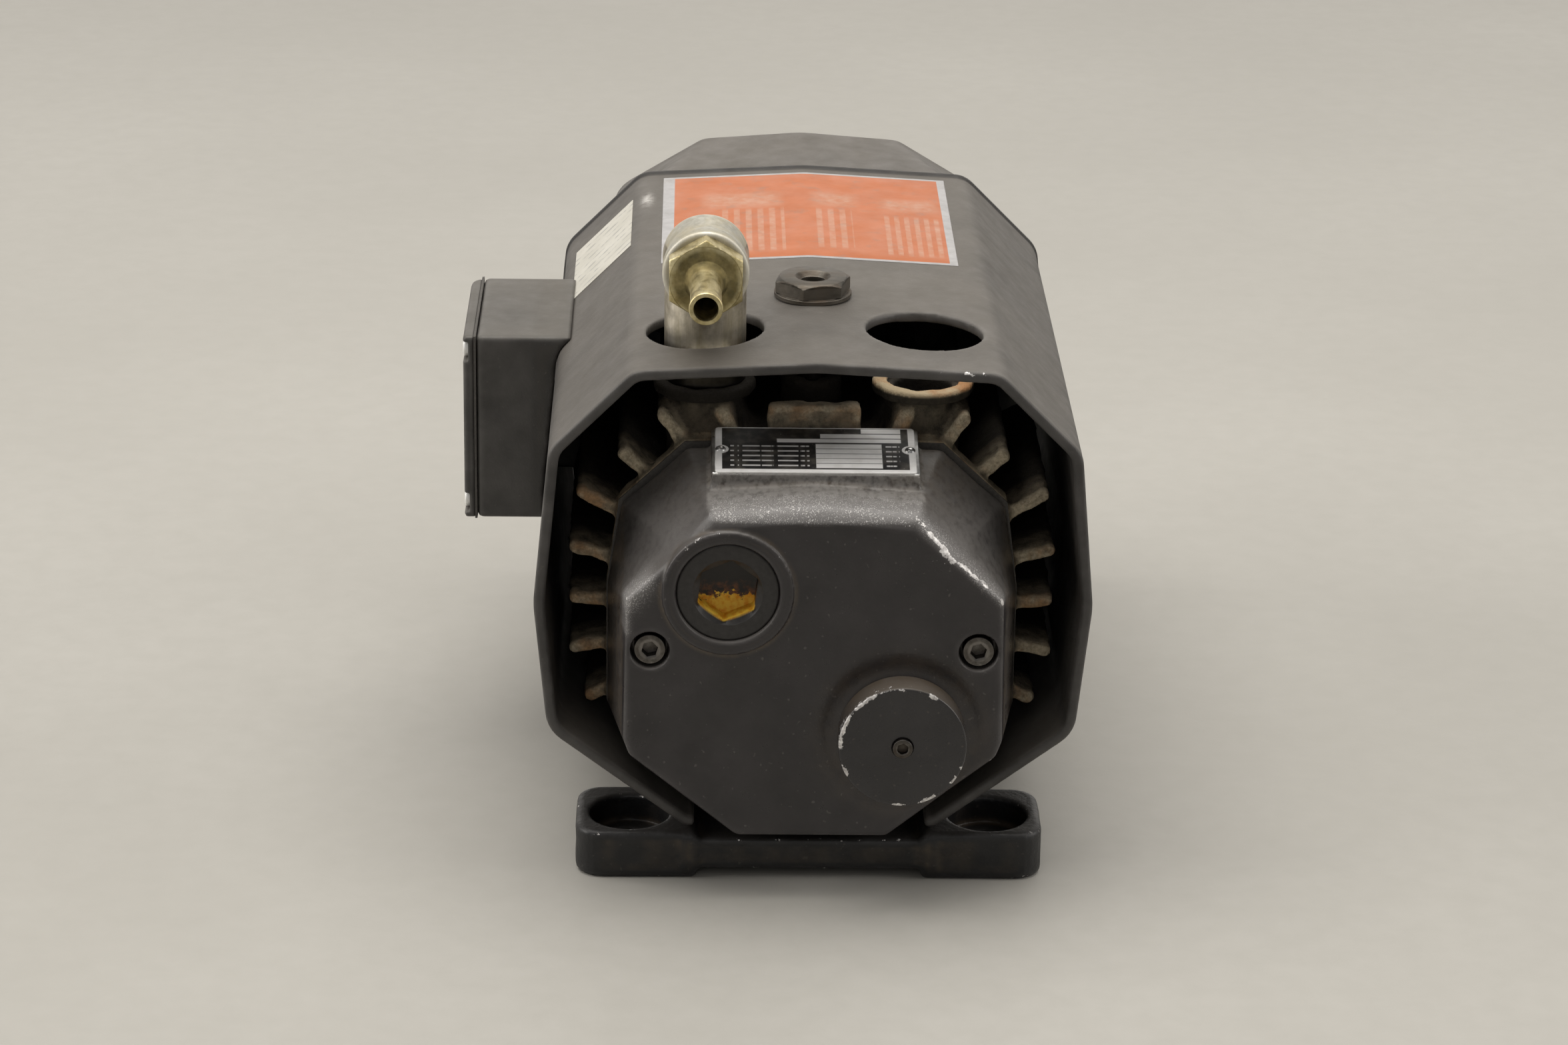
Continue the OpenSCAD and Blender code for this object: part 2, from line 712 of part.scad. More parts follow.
module motor_rotor() {
  rotor_iron_r = stator_bore_r - air_gap;
  color("#9a9b9d") difference() {
    union() {
      rod_y(rotor_iron_r, stator_y0, stator_y1, 0, shaft_z);
      ring_y(rotor_iron_r - 2, 20, stator_y0 - 8, stator_y1 + 8, 0, shaft_z);
    }
    rod_y(motor_seat_r + fit_gap, stator_y0 - 1, stator_y1 + 1, 0, shaft_z);
  }
}

module motor_end_shield() {
  back = housing_back_y + 14;
  color("#3b3c3f") difference() {
    union() {
      rod_y(housing_r, housing_back_y, housing_back_y + 7, 0, shaft_z);
      rod_y(27, housing_back_y, back, 0, shaft_z);
      at_motor_lugs(housing_back_y) facing_rear() cylinder(r = 6.5, h = 12);
    }
    rod_y(rear_bearing[1] + fit_gap, rear_bearing_y, back + 1, 0, shaft_z);
    rod_y(rear_seat_r + 1, housing_back_y - 1, rear_bearing_y + 1, 0, shaft_z);
    at_motor_lugs(housing_back_y - 1) facing_rear() cylinder(r = 2.8, h = 15);
  }
}

// ---- fan and fan cover ----

module fan() {
  color("#3d4147") difference() {
    union() {
      rod_y(16, fan_y, fan_y + 22, 0, shaft_z);
      rod_y(62, fan_y, fan_y + 3, 0, shaft_z);
      for (i = [0:blade_count - 1]) translate([0, 0, shaft_z]) rotate([0, i * 360 / blade_count, 0])
        translate([12, fan_y, -1.5]) cube([fan_r - 12, fan_w, 3]);
    }
    rod_y(fan_seat_r + fit_gap, fan_y - 1, fan_y + 24, 0, shaft_z);
  }
}

cowl_front_outline = inset(mirrored(hood_half), hood_wall + 0.5);

module cowl_form(extra, y0, y1) {
  hull() {
    between_y(y0, y0 + 12) polygon(inset(cowl_front_outline, extra));
    between_y(y1 - 6, y1) polygon(inset(mirrored(cowl_back_half), extra));
  }
}

module grille_slots() {
  intersection() {
    difference() {
      circle(54);
      circle(20);
    }
    union() for (i = [-7:7]) translate([-90, i * 11 - 3.2]) square([180, 6.4]);
  }
}

module fan_cover() {
  color("#3a3a3d") difference() {
    cowl_form(0, cowl_front_y, cowl_back_y);
    cowl_form(cowl_wall, cowl_front_y - 1, cowl_back_y - cowl_wall);
    between_y(cowl_back_y - 10, cowl_back_y + 1) translate([0, shaft_z]) grille_slots();
    at_cowl_screws() cylinder(r = 2.3, h = 20, center = true);
  }
}

module at_cowl_screws() {
  for (s = [-1, 1]) translate([s * 112, hood_back_y - 8, 100]) rotate([0, s * 90, 0]) children();
}

module fan_cover_screws() {
  color("#8d8e90") at_cowl_screws() translate([0, 0, 1.8]) socket_screw(2, 3.6, 2, 10, 2.5);
}

// ---- hood ----

module hood() {
  outline = mirrored(hood_half);
  color("#3f3d40") difference() {
    between_y(hood_front_y, hood_back_y) difference() {
      polygon(outline);
      polygon(inset(outline, hood_wall));
      translate([-48, 15]) square([96, 20]);
    }
    for (s = [-1, 1]) translate([s * port_x / 2, port_y, 200]) cylinder(d = hood_hole_d, h = 40);
    translate([0, nut_y, 200]) cylinder(r = stud_r + 0.5, h = 40);
    block(-125, -95, neck_y - 1, neck_y + neck_len + 1, neck_z - 1, neck_z + neck_h + 1);
    at_cowl_screws() cylinder(r = 2.3, h = 20, center = true);
  }
}

module hood_stud() {
  color("#6d6e70") translate([0, nut_y, 176]) cylinder(r = stud_r, h = hood_top_z + 1 - 176);
}

module hood_nut() {
  color("#4b4b4c") translate([0, nut_y, hood_top_z]) difference() {
    union() {
      cylinder(r = nut_flange_r, h = 1.6);
      rotate([0, 0, 14.5]) cylinder(r = nut_af / sqrt(3), h = nut_h, $fn = 6);
    }
    translate([0, 0, -1]) cylinder(r = stud_r + thread_gap, h = 3);
    cylinder(r = 5.2, h = 20);
  }
}

// Thin sheet that follows the hood's roof between two distances from the ridge.
module roof_sheet(half_w, y0, y1, t) {
  slope = (hood_half[5].y - hood_half[4].y) / hood_half[4].x;
  z0 = hood_top_z + fit_gap;
  between_y(y0, y1) polygon([[0, z0], [half_w, z0 - half_w * slope], [half_w, z0 + t - half_w * slope],
                             [0, z0 + t], [-half_w, z0 + t - half_w * slope], [-half_w, z0 - half_w * slope]]);
}

module warning_label() { color("#e8643c") roof_sheet(64, 54, 182, 0.3); }

module info_label() {
  run = norm(hood_half[4] - hood_half[3]);
  color("#e9e7e0") translate([-hood_half[3].x, 0, hood_half[3].y]) rotate([0, -45, 0])
    block(7, run - 5, 92, 161, fit_gap, 0.3);
}

// ---- terminal box ----

module box_profile(gap) {
  polygon([[box_x, box_z0], [-hood_half[2].x - gap, box_z0], [-hood_half[2].x - gap, hood_half[2].y],
           [-hood_half[3].x - gap, hood_half[3].y + gap], [-hood_half[3].x - gap + (box_z1 - hood_half[3].y), box_z1],
           [box_x, box_z1]]);
}

// takes the square corner off the box's outer rear edge
module box_corner() {
  x0 = box_x - lid_gasket_t - lid_t;
  difference() {
    block(x0 - 1, x0 + box_corner_r, box_y1 - box_corner_r, box_y1 + 1, box_z0 - 1, box_z1 + 1);
    translate([x0 + box_corner_r, box_y1 - box_corner_r, 0]) cylinder(r = box_corner_r, h = 300);
  }
}

module terminal_box() {
  color("#2f3034") difference() {
    union() {
      between_y(box_y0, box_y1) box_profile(0.8);
      block(-116, -48, neck_y, neck_y + neck_len, neck_z, neck_z + neck_h);
    }
    block(box_x - 1, -119, box_y0 + box_wall, box_y1 - box_wall, box_z0 + box_wall, box_z1 - box_wall);
    block(-125, -40, neck_y + 3, neck_y + neck_len - 3, neck_z + 3, neck_z + neck_h - 3);
    rod_y(housing_r + 0.3, 0, 140, 0, shaft_z);
    for (y = lid_screw_y, z = [box_z0 + 7, box_z1 - 7])
      translate([box_x - 1, y, z]) rotate([0, 90, 0]) cylinder(r = 2.1, h = 14);
    rod_y(8.1, box_y1 - 8, box_y1 + 1, -131, 152);
    box_corner();
  }
  color("#2f3034") for (y = lid_screw_y, z = [box_z0 + 7, box_z1 - 7])
    translate([box_x, y, z]) rotate([0, 90, 0]) difference() {
      cylinder(r = 4.6, h = 24.2);
      translate([0, 0, -1]) cylinder(r = 2.1, h = 14);
    }
}

module lid_gasket() {
  color("#1c1c1d") difference() {
    block(box_x - lid_gasket_t, box_x, box_y0, box_y1, box_z0, box_z1);
    block(box_x - 3, box_x + 1, box_y0 + box_wall, box_y1 - box_wall, box_z0 + 13, box_z1 - 13);
    block(box_x - 3, box_x + 1, box_y0 + 13, box_y1 - 19, box_z0 + box_wall, box_z1 - box_wall);
    at_lid_screws() cylinder(r = 2.3, h = 20, center = true);
    box_corner();
  }
}

module at_lid_screws() {
  for (y = lid_screw_y, z = [box_z0 + 7, box_z1 - 7])
    translate([box_x - lid_gasket_t - lid_t, y, z]) rotate([0, -90, 0]) children();
}

module terminal_box_lid() {
  x0 = box_x - lid_gasket_t - lid_t;
  color("#303136") difference() {
    block(x0, box_x - lid_gasket_t, box_y0, box_y1, box_z0, box_z1);
    at_lid_screws() cylinder(r = 2.3, h = 30, center = true);
    at_lid_screws() translate([0, 0, -2.6]) cylinder(r = 4.2, h = 4);
    for (z = [box_z0 + 7, box_z1 - 7]) block(x0 - 1, x0 + 2.6, box_y0 - 1, box_y0 + 7, z - 4.2, z + 4.2);
    box_corner();
  }
}

module lid_screws() {
  color("#c9cacb") at_lid_screws() translate([0, 0, -2.5]) socket_screw(2, 3.8, 2.4, 14, 2.5);
}

module terminal_block() {
  color("#5a3f2c") difference() {
    block(-133, -119.1, neck_y - 8, neck_y + neck_len + 8, neck_z + neck_h + 3, neck_z + neck_h + 29);
    for (i = [0:2], z = [162, 173]) translate([-134, neck_y + 3 + i * 13, z]) rotate([0, 90, 0]) cylinder(r = 2, h = 9);
  }
}

module cable_gland() {
  color("#3a3b3d") difference() {
    union() {
      rod_y(8, box_y1 - 5, box_y1, -131, 152);
      translate([-131, box_y1, 152]) facing_rear() cylinder(r = 11, h = 6, $fn = 6);
      translate([-131, box_y1 + 6, 152]) facing_rear() cylinder(r1 = 10, r2 = 7.5, h = 9);
    }
    rod_y(4.5, box_y1 - 6, box_y1 + 16, -131, 152);
  }
}

foot();
foot_screws();
cylinder_body();  // cylinder
front_end_plate();
rear_end_plate();
end_plate_screws();
shaft();
rotor();
rotor_key();
vane(0);  // vane_1
vane(1);  // vane_2
vane(2);  // vane_3
vane(3);  // vane_4
vane(4);  // vane_5
vane(5);  // vane_6
vane(6);  // vane_7
outer_ring(front_bearing, front_bearing_y);  // front_bearing_outer_ring
inner_ring(front_bearing, front_bearing_y);  // front_bearing_inner_ring
ball_set(front_bearing, front_bearing_y);  // front_bearing_balls
outer_ring(middle_bearing, middle_bearing_y);  // middle_bearing_outer_ring
inner_ring(middle_bearing, middle_bearing_y);  // middle_bearing_inner_ring
ball_set(middle_bearing, middle_bearing_y);  // middle_bearing_balls
outer_ring(rear_bearing, rear_bearing_y);  // rear_bearing_outer_ring
inner_ring(rear_bearing, rear_bearing_y);  // rear_bearing_inner_ring
ball_set(rear_bearing, rear_bearing_y);  // rear_bearing_balls
shaft_seals();
cover_gasket();
front_cover();
cover_screws();
hex_plug();
filter_cap();
filter_cap_screw();
inlet_filter();
exhaust_filter();
nameplate();
nameplate_backing();
nameplate_rivets();
inlet_elbow();
hose_tail();
motor_housing();
stator_core();
stator_windings();
motor_rotor();
motor_end_shield();
motor_screws();
fan();
fan_cover();
fan_cover_screws();
hood();
hood_stud();
hood_nut();
warning_label();
info_label();
terminal_box();
terminal_box_lid();
lid_gasket();
lid_screws();
terminal_block();
cable_gland();
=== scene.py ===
"""Looks of the air-cooled rotary vane vacuum pump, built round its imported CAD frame.

Cast, moulded and pressed pieces are made as distance fields that are turned into meshes, so that
their edges and inner corners are rounded. Turned pieces are rings of points round an axis. All
lengths in this file are in millimetres, in the CAD frame: +X right, -Y front, +Z up.
"""

import math

import bpy
import numpy as np
from mathutils import Matrix, Vector


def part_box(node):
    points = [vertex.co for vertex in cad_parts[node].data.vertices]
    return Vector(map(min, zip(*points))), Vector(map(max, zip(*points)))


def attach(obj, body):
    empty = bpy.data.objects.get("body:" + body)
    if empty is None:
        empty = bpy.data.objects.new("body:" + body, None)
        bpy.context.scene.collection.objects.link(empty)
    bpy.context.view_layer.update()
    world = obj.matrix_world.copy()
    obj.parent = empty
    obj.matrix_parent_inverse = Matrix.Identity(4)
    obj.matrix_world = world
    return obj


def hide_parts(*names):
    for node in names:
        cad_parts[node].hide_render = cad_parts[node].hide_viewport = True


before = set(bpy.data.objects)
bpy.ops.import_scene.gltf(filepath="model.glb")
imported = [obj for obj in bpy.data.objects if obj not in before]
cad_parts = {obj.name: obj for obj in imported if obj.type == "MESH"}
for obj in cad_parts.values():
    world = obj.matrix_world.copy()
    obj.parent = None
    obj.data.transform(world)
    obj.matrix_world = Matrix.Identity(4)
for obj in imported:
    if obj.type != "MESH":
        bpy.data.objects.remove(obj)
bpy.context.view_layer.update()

MM = 0.001

# ---- driving dimensions; those of the shapes are as in the CAD ----

HOOD_HALF = [(52, 22), (109, 65), (114.5, 121), (108, 188), (74, 222), (0, 226)]
HOOD_CORNERS = [2, 16, 40, 13, 12, 60]
HOOD_WALL = 4.5
COVER_FRONT = [(30.5, 29.5), (74.5, 65), (77, 72), (76, 134.5), (54, 153), (40.5, 168.5), (0, 172)]
COVER_BACK = [(38, 20.5), (80, 57), (85, 68), (85, 120), (80, 157), (53, 182.5), (0, 184)]
COVER_CORNERS = [5, 5, 5, 5, 5, 4, 40]
FACE_Y, COVER_BACK_Y = -112, -60
COWL_FRONT = [(50.3, 27), (104.3, 67.6), (109.5, 121), (103.4, 185.6), (103, 186), (71.8, 217.1), (0, 221)]
COWL_BACK = [(44, 33), (78, 54), (99, 92), (99, 150), (86, 196), (46, 220), (0, 223.5)]
COWL_CORNERS = [4, 14, 20, 16, 16, 12, 60]
BORE_Z, SHAFT_Z = 107, 112
CASTING_FRONT, CASTING_BACK = -59, 59
FIN_FRONT = -55.3
CORE_R = 70
PORT_X, PORT_Y, PORT_TOP = 45, -37, 203
PLUG_X, PLUG_Z = -35.2, 137
CAP_X, CAP_Z = 36, 75.5
SCREW_X, SCREW_Z = 66.5, 111.5
PLATE_Y, PLATE_Z, PLATE_TILT, PLATE_LEN = -91.8, 180, math.radians(10), 36.5
NUT_Y, HOOD_TOP, HOOD_HOLE_R = 3, 226, 24
ELBOW_Z, ELBOW_FRONT, ELBOW_R = 255, PORT_Y - 25, 16.8
COWL_FRONT_Y, COWL_BACK_Y, GRILLE_R, HUB_R = 190, 254, 54, 20
LABEL_HALF, LABEL_Y0, LABEL_Y1 = 64, 54, 182
PAD_X, PAD_Y, PAD_TOP, POCKET_R, FOOT_BOLT_R = 75, 70, 21, 16.75, 5.5
BOX_WALL, BOX_CORNER_R, BOX_BOSS_Z, LID_SCREW_R = 3, 10, (119, 188), 4.2
FIN_FIRST, FIN_STEP = 2.4, 360 / 28
FIN_FACETS = [(88, 90), (105.5, 45), (100.5, 0), (102, -30), (89, -53)]


def box_mm(node):
    """Lowest and highest corner of a CAD node, in millimetres."""
    low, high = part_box(node)
    return low / MM, high / MM


# ---- flat outlines ----


def rounded(points, radii, steps=5):
    """The outline with an arc at each corner."""
    out = []
    count = len(points)
    for i, corner in enumerate(points):
        here = Vector(corner)
        before, after = Vector(points[i - 1]) - here, Vector(points[(i + 1) % count]) - here
        half = before.angle(after) / 2
        reach = min(radii[i] / math.tan(half), 0.48 * before.length, 0.48 * after.length)
        if half > math.radians(89.5) or reach < 0.02:
            out.append(tuple(here))
            continue
        before.normalize()
        after.normalize()
        centre = here + (before + after).normalized() * (reach / math.cos(half))
        start = here + before * reach - centre
        turn = math.pi - 2 * half
        side = 1 if before.x * after.y - before.y * after.x < 0 else -1
        for k in range(steps + 1):
            a = side * turn * k / steps
            out.append((centre.x + start.x * math.cos(a) - start.y * math.sin(a),
                        centre.y + start.x * math.sin(a) + start.y * math.cos(a)))
    return out


def symmetric(half, radii, steps=5):
    """A rounded outline from its right half, whose last point is on the middle line."""
    whole = half + [(-x, z) for x, z in reversed(half[:-1])]
    return rounded(whole, radii + radii[-2::-1], steps)


def outline_field(points, u, v):
    """Signed distance to a closed outline, over a grid in the plane of u and v."""
    nearest = np.full(np.broadcast(u, v).shape, 1e9, np.float32)
    inside = np.zeros(nearest.shape, bool)
    for (au, av), (bu, bv) in zip(points, points[1:] + points[:1]):
        eu, ev = bu - au, bv - av
        pu, pv = u - au, v - av
        t = unit((pu * eu + pv * ev) / (eu * eu + ev * ev + 1e-9))
        nearest = np.minimum(nearest, (pu - t * eu) ** 2 + (pv - t * ev) ** 2)
        if ev:
            inside ^= ((av <= v) != (bv <= v)) & (pu < pv * eu / ev)
    return np.where(inside, -1, 1) * np.sqrt(nearest)


# ---- distance fields ----


def unit(value):
    """The value held between 0 and 1."""
    return np.clip(value, 0, 1)


def join(a, b, fillet=0.0):
    """Both shapes, with a fillet in the corner where they meet."""
    fillet = max(fillet, 1e-3)
    return np.maximum(fillet, np.minimum(a, b)) - np.hypot(
        np.maximum(fillet - a, 0), np.maximum(fillet - b, 0))


def meet(a, b, rounding=0.0):
    """What both shapes hold, with its new edges rounded."""
    rounding = np.maximum(rounding, 1e-3)
    return np.minimum(-rounding, np.maximum(a, b)) + np.hypot(
        np.maximum(rounding + a, 0), np.maximum(rounding + b, 0))


def cut(a, b, rounding=0.0):
    return meet(a, -b, rounding)


def between(v, low, high):
    return np.maximum(low - v, v - high)


class Grid:
    """Grid lines along each axis, from spans of (start, end, spacing) that follow each other."""

    def __init__(self, x, y, z):
        self.lines = [self.spread(spans) for spans in (x, y, z)]
        self.x = self.lines[0][:, None, None]
        self.y = self.lines[1][None, :, None]
        self.z = self.lines[2][None, None, :]

    @staticmethod
    def spread(spans):
        parts = [np.linspace(a, b, max(2, round((b - a) / step) + 1))[:-1] for a, b, step in spans]
        return np.concatenate(parts + [[spans[-1][1]]]).astype(np.float32)

    def round_y(self, r, low, high, x=0, z=0, rounding=0.0):
        return meet(np.hypot(self.x - x, self.z - z) - r, between(self.y, low, high), rounding)

    def round_z(self, r, low, high, x=0, y=0, rounding=0.0):
        return meet(np.hypot(self.x - x, self.y - y) - r, between(self.z, low, high), rounding)

    def round_x(self, r, low, high, y=0, z=0, rounding=0.0):
        return meet(np.hypot(self.y - y, self.z - z) - r, between(self.x, low, high), rounding)

    def block(self, x0, x1, y0, y1, z0, z1, rounding=0.0):
        sides = meet(between(self.x, x0, x1), between(self.y, y0, y1), rounding)
        return meet(sides, between(self.z, z0, z1), rounding)

    def rough(self, size, depth):
        """Gentle unevenness of a casting, as a sum of waves in different directions."""
        waves = [(1, 0.3, 0.5, 0), (-0.4, 1, 0.2, 2), (0.3, -0.5, 1, 4), (0.8, 0.7, -0.6, 1),
                 (-0.7, 0.4, 0.9, 3)]
        k = 2 * math.pi / size
        return depth / 3 * sum(np.sin(k * (a * self.x + b * self.y + c * self.z) + p) for a, b, c, p in waves)


def tapered(g, front, back, front_y, back_y, radii):
    """Signed distance to a symmetric outline that changes from front to back along Y."""
    slices = []
    for y in g.lines[1]:
        t = unit((y - front_y) / (back_y - front_y))
        half = [((1 - t) * a + t * c, (1 - t) * b + t * d) for (a, b), (c, d) in zip(front, back)]
        slices.append(outline_field(symmetric(half, radii, 3), g.x, g.z))
    return np.concatenate(slices, 1)


def sampled(field, lines, points):
    """The field at each point, between grid values."""
    at, share = [], []
    for axis in range(3):
        where = np.interp(points[:, axis], lines[axis], np.arange(len(lines[axis])))
        low = np.minimum(where.astype(int), len(lines[axis]) - 2)
        at.append(low)
        share.append(where - low)
    total = np.zeros(len(points))
    for corner in range(8):
        d = [(corner >> axis) & 1 for axis in range(3)]
        weight = np.prod([share[a] if d[a] else 1 - share[a] for a in range(3)], axis=0)
        total += weight * field[at[0] + d[0], at[1] + d[1], at[2] + d[2]]
    return total


def skin(field, lines):
    """Corner points and four-sided faces of the surface where the field is zero."""
    inside = field < 0
    n = field.shape
    count = np.zeros([s - 1 for s in n], np.uint8)
    for c in range(8):
        i, j, k = c & 1, (c >> 1) & 1, c >> 2
        count += inside[i:n[0] - 1 + i, j:n[1] - 1 + j, k:n[2] - 1 + k]
    crossed = (count > 0) & (count < 8)
    cells = np.argwhere(crossed)
    ids = np.full(crossed.shape, -1, np.int32)
    ids[crossed] = np.arange(len(cells))
    total, hits = np.zeros((len(cells), 3)), np.zeros(len(cells))
    for axis in range(3):
        others = [a for a in range(3) if a != axis]
        for side in range(4):
            low = cells.copy()
            low[:, others[0]] += side & 1
            low[:, others[1]] += side >> 1
            high = low.copy()
            high[:, axis] += 1
            f0, f1 = field[tuple(low.T)], field[tuple(high.T)]
            hit = (f0 < 0) != (f1 < 0)
            share = np.where(hit, f0 / np.where(hit, f0 - f1, 1), 0)
            place = np.stack([lines[a][low[:, a]] for a in range(3)], 1).astype(float)
            place[:, axis] += share * (lines[axis][high[:, axis]] - lines[axis][low[:, axis]])
            total += place * hit[:, None]
            hits += hit
    faces = []
    for axis in range(3):
        b, c = (axis + 1) % 3, (axis + 2) % 3
        lower = [slice(None)] * 3
        upper = [slice(None)] * 3
        lower[axis], upper[axis] = slice(0, -1), slice(1, None)
        start, end = inside[tuple(lower)], inside[tuple(upper)]
        edges = np.argwhere(start != end)
        edges = edges[(edges[:, b] > 0) & (edges[:, c] > 0)]
        edges = edges[(edges[:, b] < n[b] - 1) & (edges[:, c] < n[c] - 1)]
        outward = start[tuple(edges.T)]
        ring = []
        for db, dc in ((-1, -1), (0, -1), (0, 0), (-1, 0)):
            cell = edges.copy()
            cell[:, b] += db
            cell[:, c] += dc
            ring.append(ids[tuple(cell.T)])
        ring = np.stack(ring, 1)
        faces.append(np.where(outward[:, None], ring, ring[:, ::-1]))
    return total / hits[:, None], np.concatenate(faces)


# ---- Blender objects ----


def placed(name, data):
    made = bpy.data.objects.new(name, data)
    bpy.context.scene.collection.objects.link(made)
    return made


def new_object(name, points, faces, paint, nodes, place=None):
    """A mesh of points in millimetres that stands for its CAD nodes. Every piece made here is part
    of the pump's frame. place sets the piece's own axes; without it they are the frame's."""
    mesh = bpy.data.meshes.new(name)
    mesh.from_pydata((np.asarray(points, float) * MM).tolist(), [], [list(map(int, f)) for f in faces])
    mesh.validate()
    mesh.polygons.foreach_set("use_smooth", [True] * len(mesh.polygons))
    made = placed(name, mesh)
    if place is not None:
        made.matrix_world = place
    mesh.materials.append(PAINTS[paint])
    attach(made, "pump_frame")
    if nodes:
        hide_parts(*nodes)
    return made


def add_values(made, name, values):
    made.data.attributes.new(name, "FLOAT", "POINT").data.foreach_set("value", np.asarray(values, np.float32))


def moulded(name, field, grid, paint, nodes, marks=None, reach=2.5):
    """A piece from its distance field. Its edge value is above 0 on ridges and below 0 in corners.
    marks gives more values at each point, such as where paint has worn off."""
    points, faces = skin(np.ascontiguousarray(field, np.float32), grid.lines)
    made = new_object(name, points, faces, paint, nodes)
    bend = sum(sampled(field, grid.lines, points + reach * s * np.eye(3)[a])
               for a in range(3) for s in (-1, 1))
    add_values(made, "edge", np.clip(bend / reach, -2, 2))
    for key, rule in (marks or {}).items():
        add_values(made, key, rule(*points.T))
    return made


def turned(name, rings, place, paint, nodes, segments=96, marks=None):
    """A piece turned round its own Z axis. Each ring is (height, radius), or (height, radius, flats,
    turn) where a hexagon of that width across flats cuts into the circle. Rings run from the bottom
    centre over the outside to the top centre; the piece is closed where the radius is 0."""
    angles = np.arange(segments) * 2 * math.pi / segments
    points, faces, rows, edges = [], [], [], []
    for i, (height, radius, *hexagon) in enumerate(rings):
        if radius <= 0:
            rows.append([len(points)])
            points.append((0, 0, height))
            edges.append(0)
            continue
        reach = np.full(segments, float(radius))
        if hexagon:
            from_flat = (angles - math.radians(hexagon[1])) % (math.pi / 3) - math.pi / 6
            reach = np.minimum(reach, hexagon[0] / 2 / np.cos(from_flat))
        rows.append(list(range(len(points), len(points) + segments)))
        points += [(r * math.cos(a), r * math.sin(a), height) for r, a in zip(reach, angles)]
        edges += [ring_bend(rings, i)] * segments
    for low, high in zip(rows, rows[1:]):
        for k in range(segments):
            k2 = (k + 1) % segments
            if len(low) == 1 and len(high) > 1:
                faces.append((low[0], high[k2], high[k]))
            elif len(high) == 1 and len(low) > 1:
                faces.append((low[k], low[k2], high[0]))
            elif len(low) > 1:
                faces.append((low[k], low[k2], high[k2], high[k]))
    if len(rows[0]) > 1:
        for k in range(segments):
            k2 = (k + 1) % segments
            faces.append((rows[-1][k], rows[-1][k2], rows[0][k2], rows[0][k]))
    made = new_object(name, points, faces, paint, nodes, place)
    add_values(made, "edge", edges)
    for key, rule in (marks or {}).items():
        add_values(made, key, rule(*np.asarray(points).T))
    made.data.set_sharp_from_angle(angle=math.radians(32))
    return made


def ring_bend(rings, i):
    """How strongly the profile turns outwards at ring i, from 0 to 1.5."""
    here = Vector(rings[i][:2])
    before, after = Vector(rings[i - 1][:2]) - here, Vector(rings[(i + 1) % len(rings)][:2]) - here
    if before.length < 1e-6 or after.length < 1e-6:
        return 0
    turn = math.pi - before.angle(after)
    outward = before.x * after.y - before.y * after.x > 0
    return min(turn * 1.5, 1.5) if outward else -min(turn, 1)


def fillets(profile, radius, steps=3):
    """The profile with its corners rounded. A corner marked as a third value keeps its own radius."""
    out = [profile[0][:2]]
    for before, corner, after in zip(profile, profile[1:], profile[2:]):
        here = Vector(corner[:2])
        a, b = Vector(before[:2]) - here, Vector(after[:2]) - here
        r = corner[2] if len(corner) > 2 else radius
        half = a.angle(b) / 2
        reach = min(r / math.tan(half), 0.45 * a.length, 0.45 * b.length)
        if reach < 0.02:
            out.append(tuple(here))
            continue
        start, end = here + a.normalized() * reach, here + b.normalized() * reach
        for k in range(steps + 1):
            t = k / steps
            out.append(tuple((1 - t) ** 2 * start + 2 * t * (1 - t) * here + t * t * end))
    return out + [profile[-1][:2]]


def facing(x, y, z, towards):
    """Place of a turned piece whose axis points towards that direction."""
    axis = Vector(towards).to_track_quat("Z", "Y").to_matrix().to_4x4()
    return Matrix.Translation(Vector((x, y, z)) * MM) @ axis


# ---- materials ----


